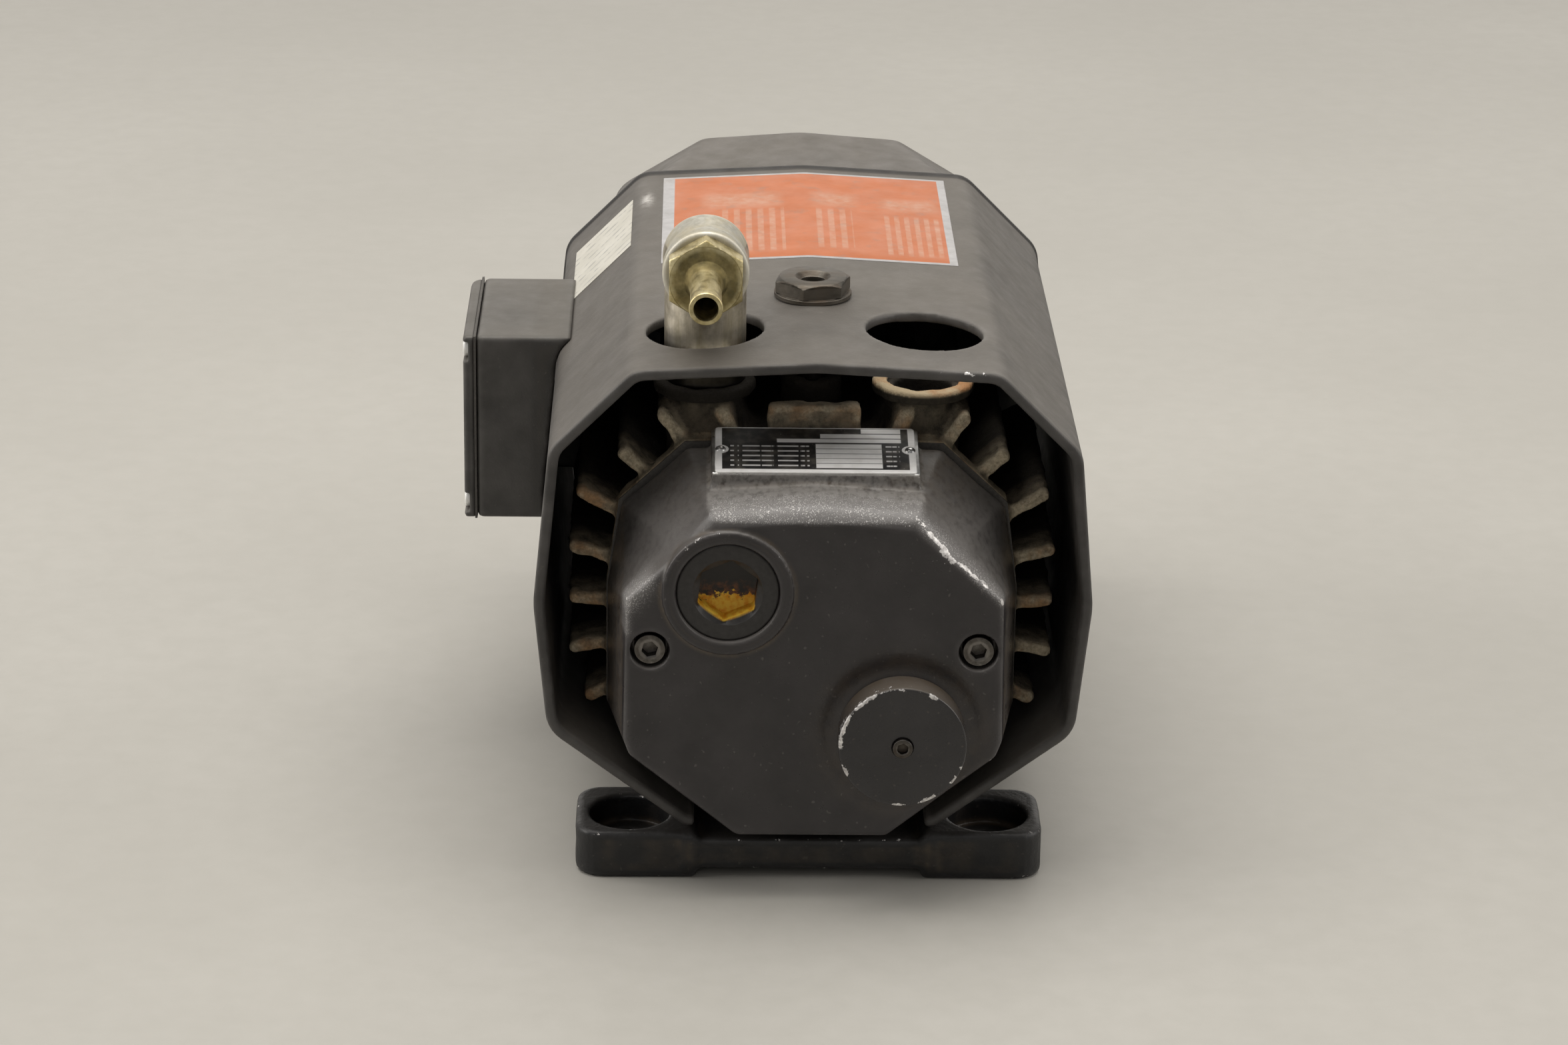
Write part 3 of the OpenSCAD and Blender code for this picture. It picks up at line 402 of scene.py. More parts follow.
class Paint:
    """One material's nodes. A value is a number, a colour or the output of another node."""

    def __init__(self, name):
        self.material = bpy.data.materials.new(name)
        self.material.use_nodes = True
        self.tree = self.material.node_tree
        self.shader = self.tree.nodes["Principled BSDF"]
        self.place = self.add("TexCoord", {}).outputs["Object"]

    def add(self, kind, values, **settings):
        node = self.tree.nodes.new("ShaderNode" + kind)
        for key, value in settings.items():
            setattr(node, key, value)
        for key, value in values.items():
            self.put(node.inputs[key], value)
        return node

    def put(self, socket, value):
        if isinstance(value, bpy.types.NodeSocket):
            self.tree.links.new(value, socket)
        elif isinstance(value, tuple) and len(value) == 3 and socket.type == "RGBA":
            socket.default_value = (*value, 1)
        else:
            socket.default_value = value

    def noise(self, size, detail=3.0, roughness=0.55, stretch=None, shift=0.0):
        """Soft noise from 0 to 1 whose patches are about size millimetres across."""
        place = self.place
        if stretch or shift:
            place = self.add("Mapping", {"Vector": place, "Scale": stretch or (1, 1, 1),
                                         "Location": (shift, shift, shift)}).outputs[0]
        return self.add("TexNoise", {"Vector": place, "Scale": 1000 / size, "Detail": detail,
                                     "Roughness": roughness}).outputs["Fac"]

    def math(self, operation, a, b=0.0, clamp=False):
        return self.add("Math", {0: a, 1: b}, operation=operation, use_clamp=clamp).outputs[0]

    def ramp(self, value, low, high, start=0.0, end=1.0):
        """value moved from low..high to start..end, and held there outside."""
        return self.add("MapRange", {"Value": value, "From Min": low, "From Max": high,
                                     "To Min": start, "To Max": end}).outputs[0]

    def plus(self, a, b):
        return self.math("ADD", a, b)

    def times(self, *values):
        product = values[0]
        for value in values[1:]:
            product = self.math("MULTIPLY", product, value)
        return product

    def mottle(self, grain, dark, light):
        return self.mix(self.ramp(grain, 0.3, 0.7), dark, light)

    def mix(self, share, a, b):
        return self.add("Mix", {0: share, 6: a, 7: b}, data_type="RGBA").outputs[2]

    def most(self, a, b):
        return self.math("MAXIMUM", a, b)

    def value(self, name):
        return self.add("Attribute", {}, attribute_name=name).outputs["Fac"]

    def upward(self):
        """1 on faces that look up, 0 on walls, -1 below."""
        normal = self.add("NewGeometry", {}).outputs["Normal"]
        return self.add("SeparateXYZ", {0: normal}).outputs["Z"]

    def coordinate(self, axis):
        """Place along one axis, in millimetres."""
        along = self.add("SeparateXYZ", {0: self.place}).outputs[axis]
        return self.math("MULTIPLY", along, 1000.0)

    def within(self, value, low, high, soft=0.15):
        return self.times(self.ramp(value, low - soft, low + soft),
                          self.ramp(value, high - soft, high + soft, 1, 0))

    def bump(self, height, depth):
        return self.add("Bump", {"Height": height, "Distance": depth * MM, "Strength": 1.0}).outputs[0]

    def finish(self, colour, roughness, normal, metallic=0.0, specular=0.5):
        for name, value in {"Base Color": colour, "Roughness": roughness, "Normal": normal,
                            "Metallic": metallic, "Specular IOR Level": specular}.items():
            self.put(self.shader.inputs[name], value)
        return self.material


def painted(name, colour, dust, dust_share, roughness, grain, grain_depth, chip_share, edge_chips=0.2,
            edge_highlight_share=0.35, slopes=(0.25, 0.97), soil=(0.09, 0.065, 0.04)):
    """Worn paint on metal: uneven tone, dust on what looks up, dirt in corners, chips on edges, and a
    painted highlight on rounded edges. The mesh's own values add to it: wear adds bare chips, soil adds
    dirt, a polished skin adds rubbed paint with a painted highlight and painted glints, shade a dark
    shadow, and pale marks add smudges, painted highlights and painted light."""
    p = Paint(name)
    fine, patches, clouds = p.noise(grain, 2), p.noise(22, 4), p.noise(75, 3, shift=0.3)
    edge = p.value("edge")
    darker = tuple(c * 0.62 for c in colour)
    lighter = tuple(c * 1.35 for c in colour)
    tone = p.mottle(patches, darker, lighter)
    tone = p.mix(p.ramp(clouds, 0.35, 0.65, 0.0, 0.5), tone, colour)
    corner = p.times(p.ramp(edge, -0.1, -0.9), p.ramp(p.noise(9, 3, shift=0.7), 0.3, 0.6))
    settled = p.times(p.ramp(p.upward(), *slopes), p.ramp(clouds, 0.2, 0.6, 0.45, 1), dust_share)
    specks = p.times(p.ramp(p.noise(2.2, 1, shift=0.9), 0.7, 0.78), 0.25)
    soiled = p.times(p.value("soil"), p.ramp(p.noise(6, 4, shift=1.3), 0.3, 0.62))
    tone = p.mix(settled, tone, dust)
    tone = p.mix(p.most(p.times(corner, 0.55), p.times(soiled, 0.8)), tone, soil)
    tone = p.mix(specks, tone, dust)
    # Painted highlight: rounded edges are lightened where light would catch them.
    edge_highlight = p.times(p.ramp(edge, 0.12, 0.9), p.ramp(p.noise(14, 4, shift=1.9), 0.35, 0.7), edge_highlight_share)
    tone = p.mix(edge_highlight, tone, tuple(min(c * 2.6 + 0.05, 1) for c in colour))
    flakes = p.add("TexVoronoi", {"Vector": p.place, "Scale": 700.0}).outputs["Distance"]
    grit = p.plus(p.noise(3.2, 5, 0.7, shift=2.4), p.times(flakes, -0.12))
    worn = p.plus(p.ramp(edge, 0.2, 1.1, 0, edge_chips), p.times(p.value("wear"), 0.42))
    tone = p.mix(p.value("shade"), tone, (0.009, 0.008, 0.008))
    # Pale marks: smudges on the hood, and painted highlights and painted light on the front cover.
    tone = p.mix(p.times(p.value("pale_marks_and_highlight"), p.ramp(p.noise(3, 4, shift=5.0), 0.3, 0.55)), tone,
                 (0.55, 0.53, 0.5))
    # Polished skin: rubbed paint that is partly a painted highlight, lightened and strewn with painted glints
    # shown as bare metal.
    polish_and_highlight = p.value("polish_and_highlight")
    glint_specks = p.ramp(p.plus(p.noise(0.55, 1, 0.6, shift=4.2), p.times(p.noise(9, 2, shift=6.0), 0.25)),
                   0.68, 0.76)
    tone = p.mix(p.times(polish_and_highlight, 0.7), tone, (0.28, 0.27, 0.265))
    chips = p.most(p.ramp(p.plus(grit, worn), 0.79 - chip_share, 0.81 - chip_share),
                   p.times(polish_and_highlight, glint_specks, 0.8))
    metal = p.mix(p.ramp(p.noise(1.4, 3), 0.35, 0.65), (0.42, 0.4, 0.39), (0.85, 0.83, 0.81))
    tone = p.mix(chips, tone, metal)
    rough = p.ramp(p.noise(8, 4, shift=3.1), 0.3, 0.7, roughness - 0.07, roughness + 0.09)
    rough = p.math("ADD", rough, p.times(settled, 0.25), clamp=True)
    rough = p.plus(p.times(rough, p.ramp(chips, 0, 1, 1, 0)), p.times(chips, 0.38))
    height = p.plus(fine, p.times(chips, -1.6))
    return p.finish(tone, rough, p.bump(height, grain_depth), p.times(chips, 0.3))


def rusted():
    """Rough casting: dark brown skin, orange rust on what stands out, pale dust on what looks up, and
    painted shade that darkens it to near black in corners and further in from the front.
    """
    p = Paint("rusty_casting")
    edge = p.value("edge")
    coarse, fine, patches = p.noise(5, 5, 0.65), p.noise(1.3, 3, 0.7, shift=0.5), p.noise(17, 4, shift=1.1)
    skin_tone = p.mottle(coarse, (0.07, 0.06, 0.045), (0.33, 0.28, 0.2))
    rust = p.mix(p.ramp(patches, 0.46, 0.62), (0.62, 0.53, 0.38), (0.52, 0.31, 0.16))
    rust = p.mix(p.ramp(fine, 0.4, 0.7, 0, 0.55), rust, (0.12, 0.085, 0.05))
    tip = p.times(p.ramp(edge, 0.0, 0.5, 0.35, 1), p.ramp(coarse, 0.3, 0.55, 0.3, 1), p.value("tip"))
    tone = p.mix(p.times(p.ramp(patches, 0.42, 0.6), 0.35), skin_tone, (0.24, 0.19, 0.135))
    tone = p.mix(p.times(tip, 0.95), tone, rust)
    dust = p.times(p.ramp(p.upward(), 0.1, 0.9), p.ramp(coarse, 0.35, 0.6), 0.6)
    tone = p.mix(dust, tone, (0.34, 0.28, 0.2))
    tone = p.mix(p.times(p.value("port"), p.ramp(fine, 0.2, 0.5, 0.75, 1)), tone,
                 p.mix(p.ramp(patches, 0.45, 0.6), (0.5, 0.4, 0.26), (0.42, 0.22, 0.1)))
    # Painted shade: near black further in from the front, less so on faces that look up, also in corners and
    # where the shade value says, never on the pale port ring.
    lit_top = p.ramp(p.upward(), 0.2, 0.8, 1, 0.3)
    depth = p.most(p.times(p.ramp(p.coordinate("Y"), -54.4, -48, 0, 0.95), lit_top),
                   p.ramp(p.coordinate("Y"), -50, -34, 0, 0.95))
    deep = p.most(p.ramp(edge, -0.15, -1.0, 0, 0.6), depth)
    deep = p.times(p.most(deep, p.value("shade")), p.ramp(p.value("port"), 0, 1, 1, 0))
    tone = p.mix(deep, tone, (0.012, 0.01, 0.008))
    height = p.plus(coarse, p.times(fine, 0.55))
    return p.finish(tone, p.ramp(fine, 0.3, 0.7, 0.72, 0.95), p.bump(height, 0.9), specular=0.25)


def metal(name, dark, light, roughness, tarnish=None, brush=(1, 1, 1), size=3.0, depth=0.02, grime=0.3):
    """Bare or plated metal, with brush marks, tarnish, dirt in its corners, a painted highlight on its
    edges and the shade value painted as a dark shadow.
    """
    p = Paint(name)
    lines = p.noise(size, 4, 0.65, stretch=brush)
    stains = p.noise(11, 4, 0.6, shift=0.8)
    tone = p.mottle(lines, dark, light)
    if tarnish:
        tone = p.mix(p.ramp(stains, 0.42, 0.68, 0, 0.8), tone, tarnish)
    dirt = p.times(p.ramp(p.value("edge"), -0.05, -0.8, 0, 1), grime)
    tone = p.mix(dirt, tone, (0.05, 0.04, 0.03))
    # Painted highlight on convex edges.
    tone = p.mix(p.times(p.ramp(p.value("edge"), 0.3, 1.2), 0.45), tone,
                 tuple(min(c * 1.5, 0.95) for c in light))
    tone = p.mix(p.value("shade"), tone, (0.008, 0.0065, 0.005))
    rough = p.plus(p.ramp(stains, 0.3, 0.7, roughness - 0.06, roughness + 0.14), p.times(dirt, 0.4))
    return p.finish(tone, rough, p.bump(lines, depth), metallic=1.0)


def plain(name, dark, light, roughness, size, depth, sheen=0.0):
    """Unpainted plastic, rubber, paper or felt: mottled tone, its own grain and a painted highlight on its
    edges.
    """
    p = Paint(name)
    grain, patches = p.noise(size, 3), p.noise(24, 3, shift=0.6)
    tone = p.mix(p.plus(p.ramp(grain, 0.3, 0.7, 0, 0.6), p.ramp(patches, 0.35, 0.65, 0, 0.4)), dark, light)
    # Painted highlight on convex edges.
    tone = p.mix(p.times(p.ramp(p.value("edge"), 0.3, 1.2), 0.3), tone,
                 tuple(min(c * 2 + 0.03, 1) for c in light))
    p.shader.inputs["Sheen Weight"].default_value = sheen
    rough = p.ramp(patches, 0.3, 0.7, roughness - 0.08, roughness + 0.08)
    return p.finish(tone, rough, p.bump(grain, depth))


def tarnished_brass():
    """Brass hose tail: dull olive and brown on the hexagon's face, brighter on its edges and the tube."""
    p = Paint("brass")
    z = p.coordinate("Z")
    lines, stains = p.noise(4, 4, 0.65, stretch=(1, 1, 0.25)), p.noise(7, 5, 0.6, shift=0.8)
    clean = p.mottle(lines, (0.42, 0.34, 0.15), (0.72, 0.64, 0.4))
    dull = p.mix(p.ramp(stains, 0.35, 0.65), (0.075, 0.06, 0.02), (0.3, 0.24, 0.1))
    face = p.times(p.ramp(z, 9.6, 9.9), p.ramp(z, 19, 14.5), p.ramp(p.value("edge"), 0.9, 0.3))
    tone = p.mix(p.times(face, 0.9), clean, dull)
    spots = p.times(p.ramp(p.noise(5, 4, shift=2.0), 0.5, 0.68), 0.6)
    tone = p.mix(spots, tone, (0.17, 0.13, 0.05))
    rough = p.plus(p.ramp(stains, 0.3, 0.7, 0.34, 0.5), p.times(face, 0.12))
    return p.finish(tone, rough, p.bump(lines, 0.04), p.ramp(face, 0, 1, 1, 0.75))


def orange_film():
    """Generic orange label: white side bars and rim, with a few pale smudged bars and no lettering."""
    p = Paint("orange_label")
    x, y = p.coordinate("X"), p.coordinate("Y")
    orange = p.mottle(p.noise(14, 4), (0.43, 0.12, 0.035), (0.49, 0.145, 0.05))
    bars = 0.0
    for x0, x1, y0, y1, pitch in ((-38, -10, 66, 128, 5.2), (4, 20, 70, 126, 5.2), (33, 59, 64, 120, 4.4)):
        stripes = p.ramp(p.math("PINGPONG", p.plus(x, 200.0), pitch / 2), pitch * 0.2, pitch * 0.3)
        bars = p.most(bars, p.times(stripes, p.within(x, x0, x1), p.within(y, y0, y1, 2.0)))
    for x0, x1, y0, y1 in ((-45, -12, 132, 152), (4, 22, 132, 150), (34, 58, 130, 146)):
        bars = p.most(bars, p.times(p.within(x, x0, x1, 3), p.within(y, y0, y1, 4)))
    faded = p.times(bars, p.ramp(p.noise(4, 4, shift=0.4), 0.3, 0.7, 0.2, 0.75))
    tone = p.mix(faded, orange, (0.5, 0.29, 0.2))
    field = p.times(p.within(x, -58.8, 60.4), p.within(y, 56.2, 179.5))
    white = p.mottle(p.noise(5, 3), (0.36, 0.35, 0.35), (0.44, 0.43, 0.43))
    tone = p.mix(field, white, tone)
    grime = p.times(p.ramp(p.noise(9, 5, 0.65, shift=1.7), 0.55, 0.72), 0.35)
    tone = p.mix(grime, tone, (0.2, 0.17, 0.14))
    return p.finish(tone, p.ramp(p.noise(12, 3), 0.3, 0.7, 0.38, 0.55), p.bump(p.noise(6, 2), 0.03))


def white_film():
    """Generic white label with faint grey rules and no lettering."""
    p = Paint("white_label")
    y = p.coordinate("Y")
    rows = p.ramp(p.math("PINGPONG", y, 3.6), 2.5, 2.9)
    smudge = p.ramp(p.noise(4.5, 4, 0.6), 0.45, 0.6)
    tone = p.mottle(p.noise(16, 3), (0.5, 0.48, 0.42), (0.6, 0.58, 0.52))
    tone = p.mix(p.times(rows, smudge, p.within(y, 96, 157, 1.0), 0.6), tone, (0.2, 0.2, 0.2))
    return p.finish(tone, 0.5, p.bump(p.noise(5, 2), 0.03))


PLATE_BOXES = [(18.9, 35, 31.6, 35.1), (2.2, 35, 27.6, 31.0), (-15.5, 35, 24.0, 27.0)]
VALUE_BOX = (0.2, 27.0, 3.4, 22.9)


def printed_plate():
    """Generic nameplate: satin metal, black print fields, empty ruled boxes, dashes for the legends."""
    p = Paint("plate_metal")
    x, y = p.coordinate("X"), p.coordinate("Y")
    brushed = p.mottle(p.noise(1.2, 3, 0.6, stretch=(0.08, 1, 1)), (0.84, 0.83, 0.82), (0.96, 0.95, 0.94))
    black = p.mottle(p.noise(7, 4), (0.008, 0.008, 0.009), (0.025, 0.024, 0.024))
    field = p.times(p.within(x, -37.9, 37.9), p.within(y, 2.4, 35.4))
    ring = 0.0
    for s in (-1, 1):
        apart = p.math("SQRT", p.plus(p.times(*[p.math("SUBTRACT", x, 38.5 * s)] * 2),
                                      p.times(*[p.math("SUBTRACT", y, PLATE_LEN / 2)] * 2)))
        ring = p.most(ring, p.ramp(apart, 3.2, 3.5, 1, 0))
    boxes = 0.0
    for x0, x1, y0, y1 in PLATE_BOXES:
        boxes = p.most(boxes, p.times(p.within(x, x0, x1), p.within(y, y0, y1)))
    big = p.times(p.within(x, *VALUE_BOX[:2]), p.within(y, *VALUE_BOX[2:]))
    rules = p.times(p.ramp(p.math("PINGPONG", p.plus(y, 97.5 - VALUE_BOX[2]), 1.95), 0.34, 0.18), big)
    rows = p.ramp(p.math("PINGPONG", p.plus(y, 97.5 - VALUE_BOX[2]), 1.95), 1.3, 1.5)
    dashes = p.times(rows, p.ramp(p.noise(2.4, 2, 0.6, stretch=(1, 0.02, 1), shift=3.0), 0.42, 0.47),
                     p.most(p.within(x, -34.5, -2.5), p.within(x, 28.6, 34.2)), p.within(y, 3.4, 22.9))
    bare = p.most(p.most(boxes, big), p.most(ring, p.times(dashes, 0.75)))
    scuff = p.times(p.ramp(p.noise(2.2, 5, 0.7), 0.69, 0.73), 0.6)
    bare = p.most(bare, scuff)
    printed = p.times(field, p.ramp(bare, 0, 1, 1, 0))
    printed = p.most(printed, p.times(rules, 0.75))
    dust = p.times(p.ramp(p.noise(6, 4, shift=2.2), 0.45, 0.8), 0.25)
    tone = p.mix(dust, p.mix(printed, brushed, black), (0.4, 0.36, 0.3))
    rough = p.ramp(printed, 0, 1, 0.5, 0.45)
    shine = p.times(p.ramp(printed, 0, 1, 0.08, 0), p.ramp(dust, 0, 1, 1, 0.3))
    return p.finish(tone, rough, p.bump(printed, 0.05), shine)


def plug_metal():
    """Black plug, with rust, a pool of yellow paint left in the lower part of its socket, and painted shade
    that darkens the inside of the socket.
    """
    p = Paint("plug_steel")
    y, z = p.coordinate("Y"), p.coordinate("Z")
    lines = p.noise(3, 4, 0.65)
    tone = p.mottle(lines, (0.02, 0.0185, 0.0175), (0.034, 0.031, 0.03))
    deep = p.ramp(z, -1.4, -2.4)
    level = p.plus(y, p.times(p.math("SUBTRACT", p.noise(3.0, 4, 0.7, shift=0.4), 0.5), 13.0))
    stain = p.times(deep, p.ramp(level, 1.0, -3.5), p.ramp(p.noise(3, 4, 0.65, shift=2.0), 0.38, 0.6))
    # Painted shade: the inside of the socket is darkened to near black.
    tone = p.mix(p.times(deep, 0.85), tone, (0.009, 0.007, 0.0055))
    tone = p.mix(stain, tone, (0.16, 0.055, 0.014))
    pool = p.times(deep, p.ramp(level, -4.9, -5.7))
    paint = p.mix(p.ramp(p.noise(2.5, 4, shift=1.5), 0.35, 0.6), (0.85, 0.36, 0.015), (1.0, 0.66, 0.08))
    tone = p.mix(pool, tone, paint)
    return p.finish(tone, p.ramp(pool, 0, 1, 0.4, 0.6), p.bump(lines, 0.08), specular=0.4)


def pale_floor():
    p = Paint("floor_grey")
    wide, fine = p.noise(420, 4), p.noise(14, 5)
    tone = p.mottle(wide, (0.4, 0.385, 0.35), (0.46, 0.445, 0.41))
    tone = p.mix(p.ramp(fine, 0.35, 0.75, 0, 0.25), tone, (0.36, 0.345, 0.31))
    return p.finish(tone, p.ramp(wide, 0.3, 0.7, 0.5, 0.65), p.bump(fine, 0.2))


def each(kind, rows):
    """Materials of one kind, by name, each from its row of settings."""
    return {name: kind(name, *row) for name, row in rows.items()}


PAINTS = {
    **each(painted, {
        "hood_paint": ((0.066, 0.061, 0.057), (0.19, 0.17, 0.14), 0.42, 0.5, 1.1, 0.1, 0.0, 0.05),
        "black_paint": ((0.0245, 0.0215, 0.0225), (0.2, 0.185, 0.17), 0.55, 0.33, 1.3, 0.09, 0.02, 0.12, 0.2,
                        (0.02, 0.8)),
        "cap_paint": ((0.02, 0.0185, 0.0195), (0.16, 0.135, 0.11), 0.7, 0.25, 1.6, 0.05, 0.02, 0.1),
        "foot_paint": ((0.0065, 0.0064, 0.007), (0.09, 0.078, 0.065), 0.2, 0.42, 1.8, 0.2, 0.03),
        "box_plastic": ((0.044, 0.041, 0.038), (0.18, 0.165, 0.14), 0.5, 0.45, 0.9, 0.06, -0.05, 0.0),
    }),
    **each(metal, {
        "machined_iron": ((0.3, 0.29, 0.28), (0.5, 0.49, 0.47), 0.38, None, (0.15, 1, 1)),
        "steel": ((0.45, 0.46, 0.47), (0.7, 0.7, 0.7), 0.24, None, (0.1, 1, 0.1)),
        "dark_steel": ((0.035, 0.033, 0.03), (0.12, 0.113, 0.105), 0.33, (0.07, 0.058, 0.046)),
        "worn_steel": ((0.045, 0.042, 0.038), (0.17, 0.16, 0.15), 0.27, (0.08, 0.07, 0.06)),
        "nut_steel": ((0.045, 0.04, 0.034), (0.15, 0.137, 0.118), 0.46, (0.13, 0.1, 0.075), (0.2, 1, 1), 2.0),
        "pale_screw": ((0.8, 0.8, 0.78), (0.95, 0.95, 0.93), 0.6),
        "bright_steel": ((0.55, 0.55, 0.55), (0.8, 0.8, 0.79), 0.28),
        "zinc_fitting": ((0.42, 0.375, 0.27), (0.76, 0.71, 0.62), 0.4, (0.2, 0.17, 0.13), (1, 1, 0.12), 5.0,
                         0.05, 0.5),
        "pale_zinc": ((0.4, 0.385, 0.33), (0.6, 0.58, 0.52), 0.6, (0.5, 0.45, 0.33), (1, 1, 0.3)),
        "copper": ((0.4, 0.16, 0.06), (0.7, 0.33, 0.14), 0.35, None, (1, 0.12, 1), 1.2, 0.2),
    }),
    **each(plain, {
        "fan_plastic": ((0.03, 0.032, 0.036), (0.06, 0.062, 0.068), 0.5, 1.4, 0.06),
        "carbon": ((0.02, 0.02, 0.021), (0.045, 0.045, 0.047), 0.45, 0.8, 0.02),
        "felt": ((0.16, 0.14, 0.12), (0.26, 0.23, 0.19), 0.95, 0.6, 0.3, 0.4),
        "gasket": ((0.05, 0.047, 0.043), (0.11, 0.1, 0.09), 0.8, 1.2, 0.05),
        "filter_paper": ((0.6, 0.56, 0.44), (0.72, 0.68, 0.57), 0.9, 0.7, 0.1),
    }),
    "rusty_casting": rusted(),
    "brass": tarnished_brass(),
    "plate_metal": printed_plate(),
    "orange_label": orange_film(),
    "white_label": white_film(),
    "plug_steel": plug_metal(),
}


# ---- hood and fan cover ----


def build_hood():
    g = Grid([(-118.8, 118.8, 1.2)],
             [(-90.2, -83, 0.6), (-83, -63, 2.5), (-63, -11, 1.0), (-11, 140, 4), (140, 160, 2), (160, 186, 4),
              (186, 196, 0.7)],
             [(18, 230.4, 1.2)])
    outline = symmetric(HOOD_HALF, HOOD_CORNERS)
    flat = outline_field(outline, g.x, g.z)
    wall = np.maximum(flat, -(flat + HOOD_WALL))
    wall = cut(wall, np.maximum(np.abs(g.x) - 48, g.z - 35), 1)
    low, high = box_mm("hood")
    body = meet(wall, between(g.y, low.y, high.y), 1.6)
    for s in (-1, 1):
        body = cut(body, np.maximum(np.hypot(g.x - s * PORT_X, g.y - PORT_Y) - HOOD_HOLE_R, 200 - g.z), 1.0)
    body = cut(body, np.maximum(np.hypot(g.x, g.y - NUT_Y) - 6.5, 200 - g.z), 0.3)
    body = cut(body, g.block(-125, -95, 70, 104, 121, 153), 1)

    rim = np.maximum(np.maximum(flat - 0.7, -flat - 3), between(g.y, high.y - 4.2, high.y))
    body = join(body, meet(rim, between(g.y, high.y - 4.2, high.y), 0.8), 0.8)

    def wear(x, y, z):
        lip = np.exp(-((y - low.y) / 2.5) ** 2)
        outer = np.abs(outline_field(outline, x, z)) < 1.3
        return 0.75 * lip * outer * np.exp(-((x - 60) / 12) ** 2) * (z > 205)

    def shade(x, y, z):
        rear = 0.85 * unit((y - (high.y - 6)) / 2)
        return np.maximum(rear, 0.45 * unit((low.y + 1.6 - y) / 1.2))

    def pale_marks_and_highlight(x, y, z):
        return 0.9 * np.exp(-((x + 71) / 2.2) ** 2 - ((y - 150) / 8) ** 2) * (z > 210)

    moulded("hood_shell", body, g, "hood_paint", ["hood"], {"wear": wear, "shade": shade, "pale_marks_and_highlight": pale_marks_and_highlight})


def build_fan_cover():
    g = Grid([(-112.8, 112.8, 1.2)], [(174, 184, 1.2), (184, 244, 4), (244, 263, 0.9)], [(22, 226.4, 1.2)])
    low, high = box_mm("fan_cover")
    flat = tapered(g, COWL_FRONT, COWL_BACK, COWL_FRONT_Y, COWL_BACK_Y, COWL_CORNERS)
    body = meet(flat, between(g.y, low.y, high.y), 2.5)
    hollow = np.maximum(flat + 3, between(g.y, low.y - 10, high.y - 3))
    body = cut(body, hollow, 0.8)
    away = np.hypot(g.x, g.z - SHAFT_Z)
    pitch, half_slot = 11, 3.2
    bars = np.abs((g.z - SHAFT_Z + pitch / 2) % pitch - pitch / 2) - half_slot
    slots = meet(np.maximum(away - GRILLE_R, HUB_R - away), bars, 1.5)
    body = cut(body, np.maximum(slots, 250 - g.y), 0.9)
    moulded("fan_cover_shell", body, g, "hood_paint", ["fan_cover"],
            {"shade": lambda x, y, z: 0.8 * unit((196.5 - y) / 3)})


# ---- front cover and what it carries ----


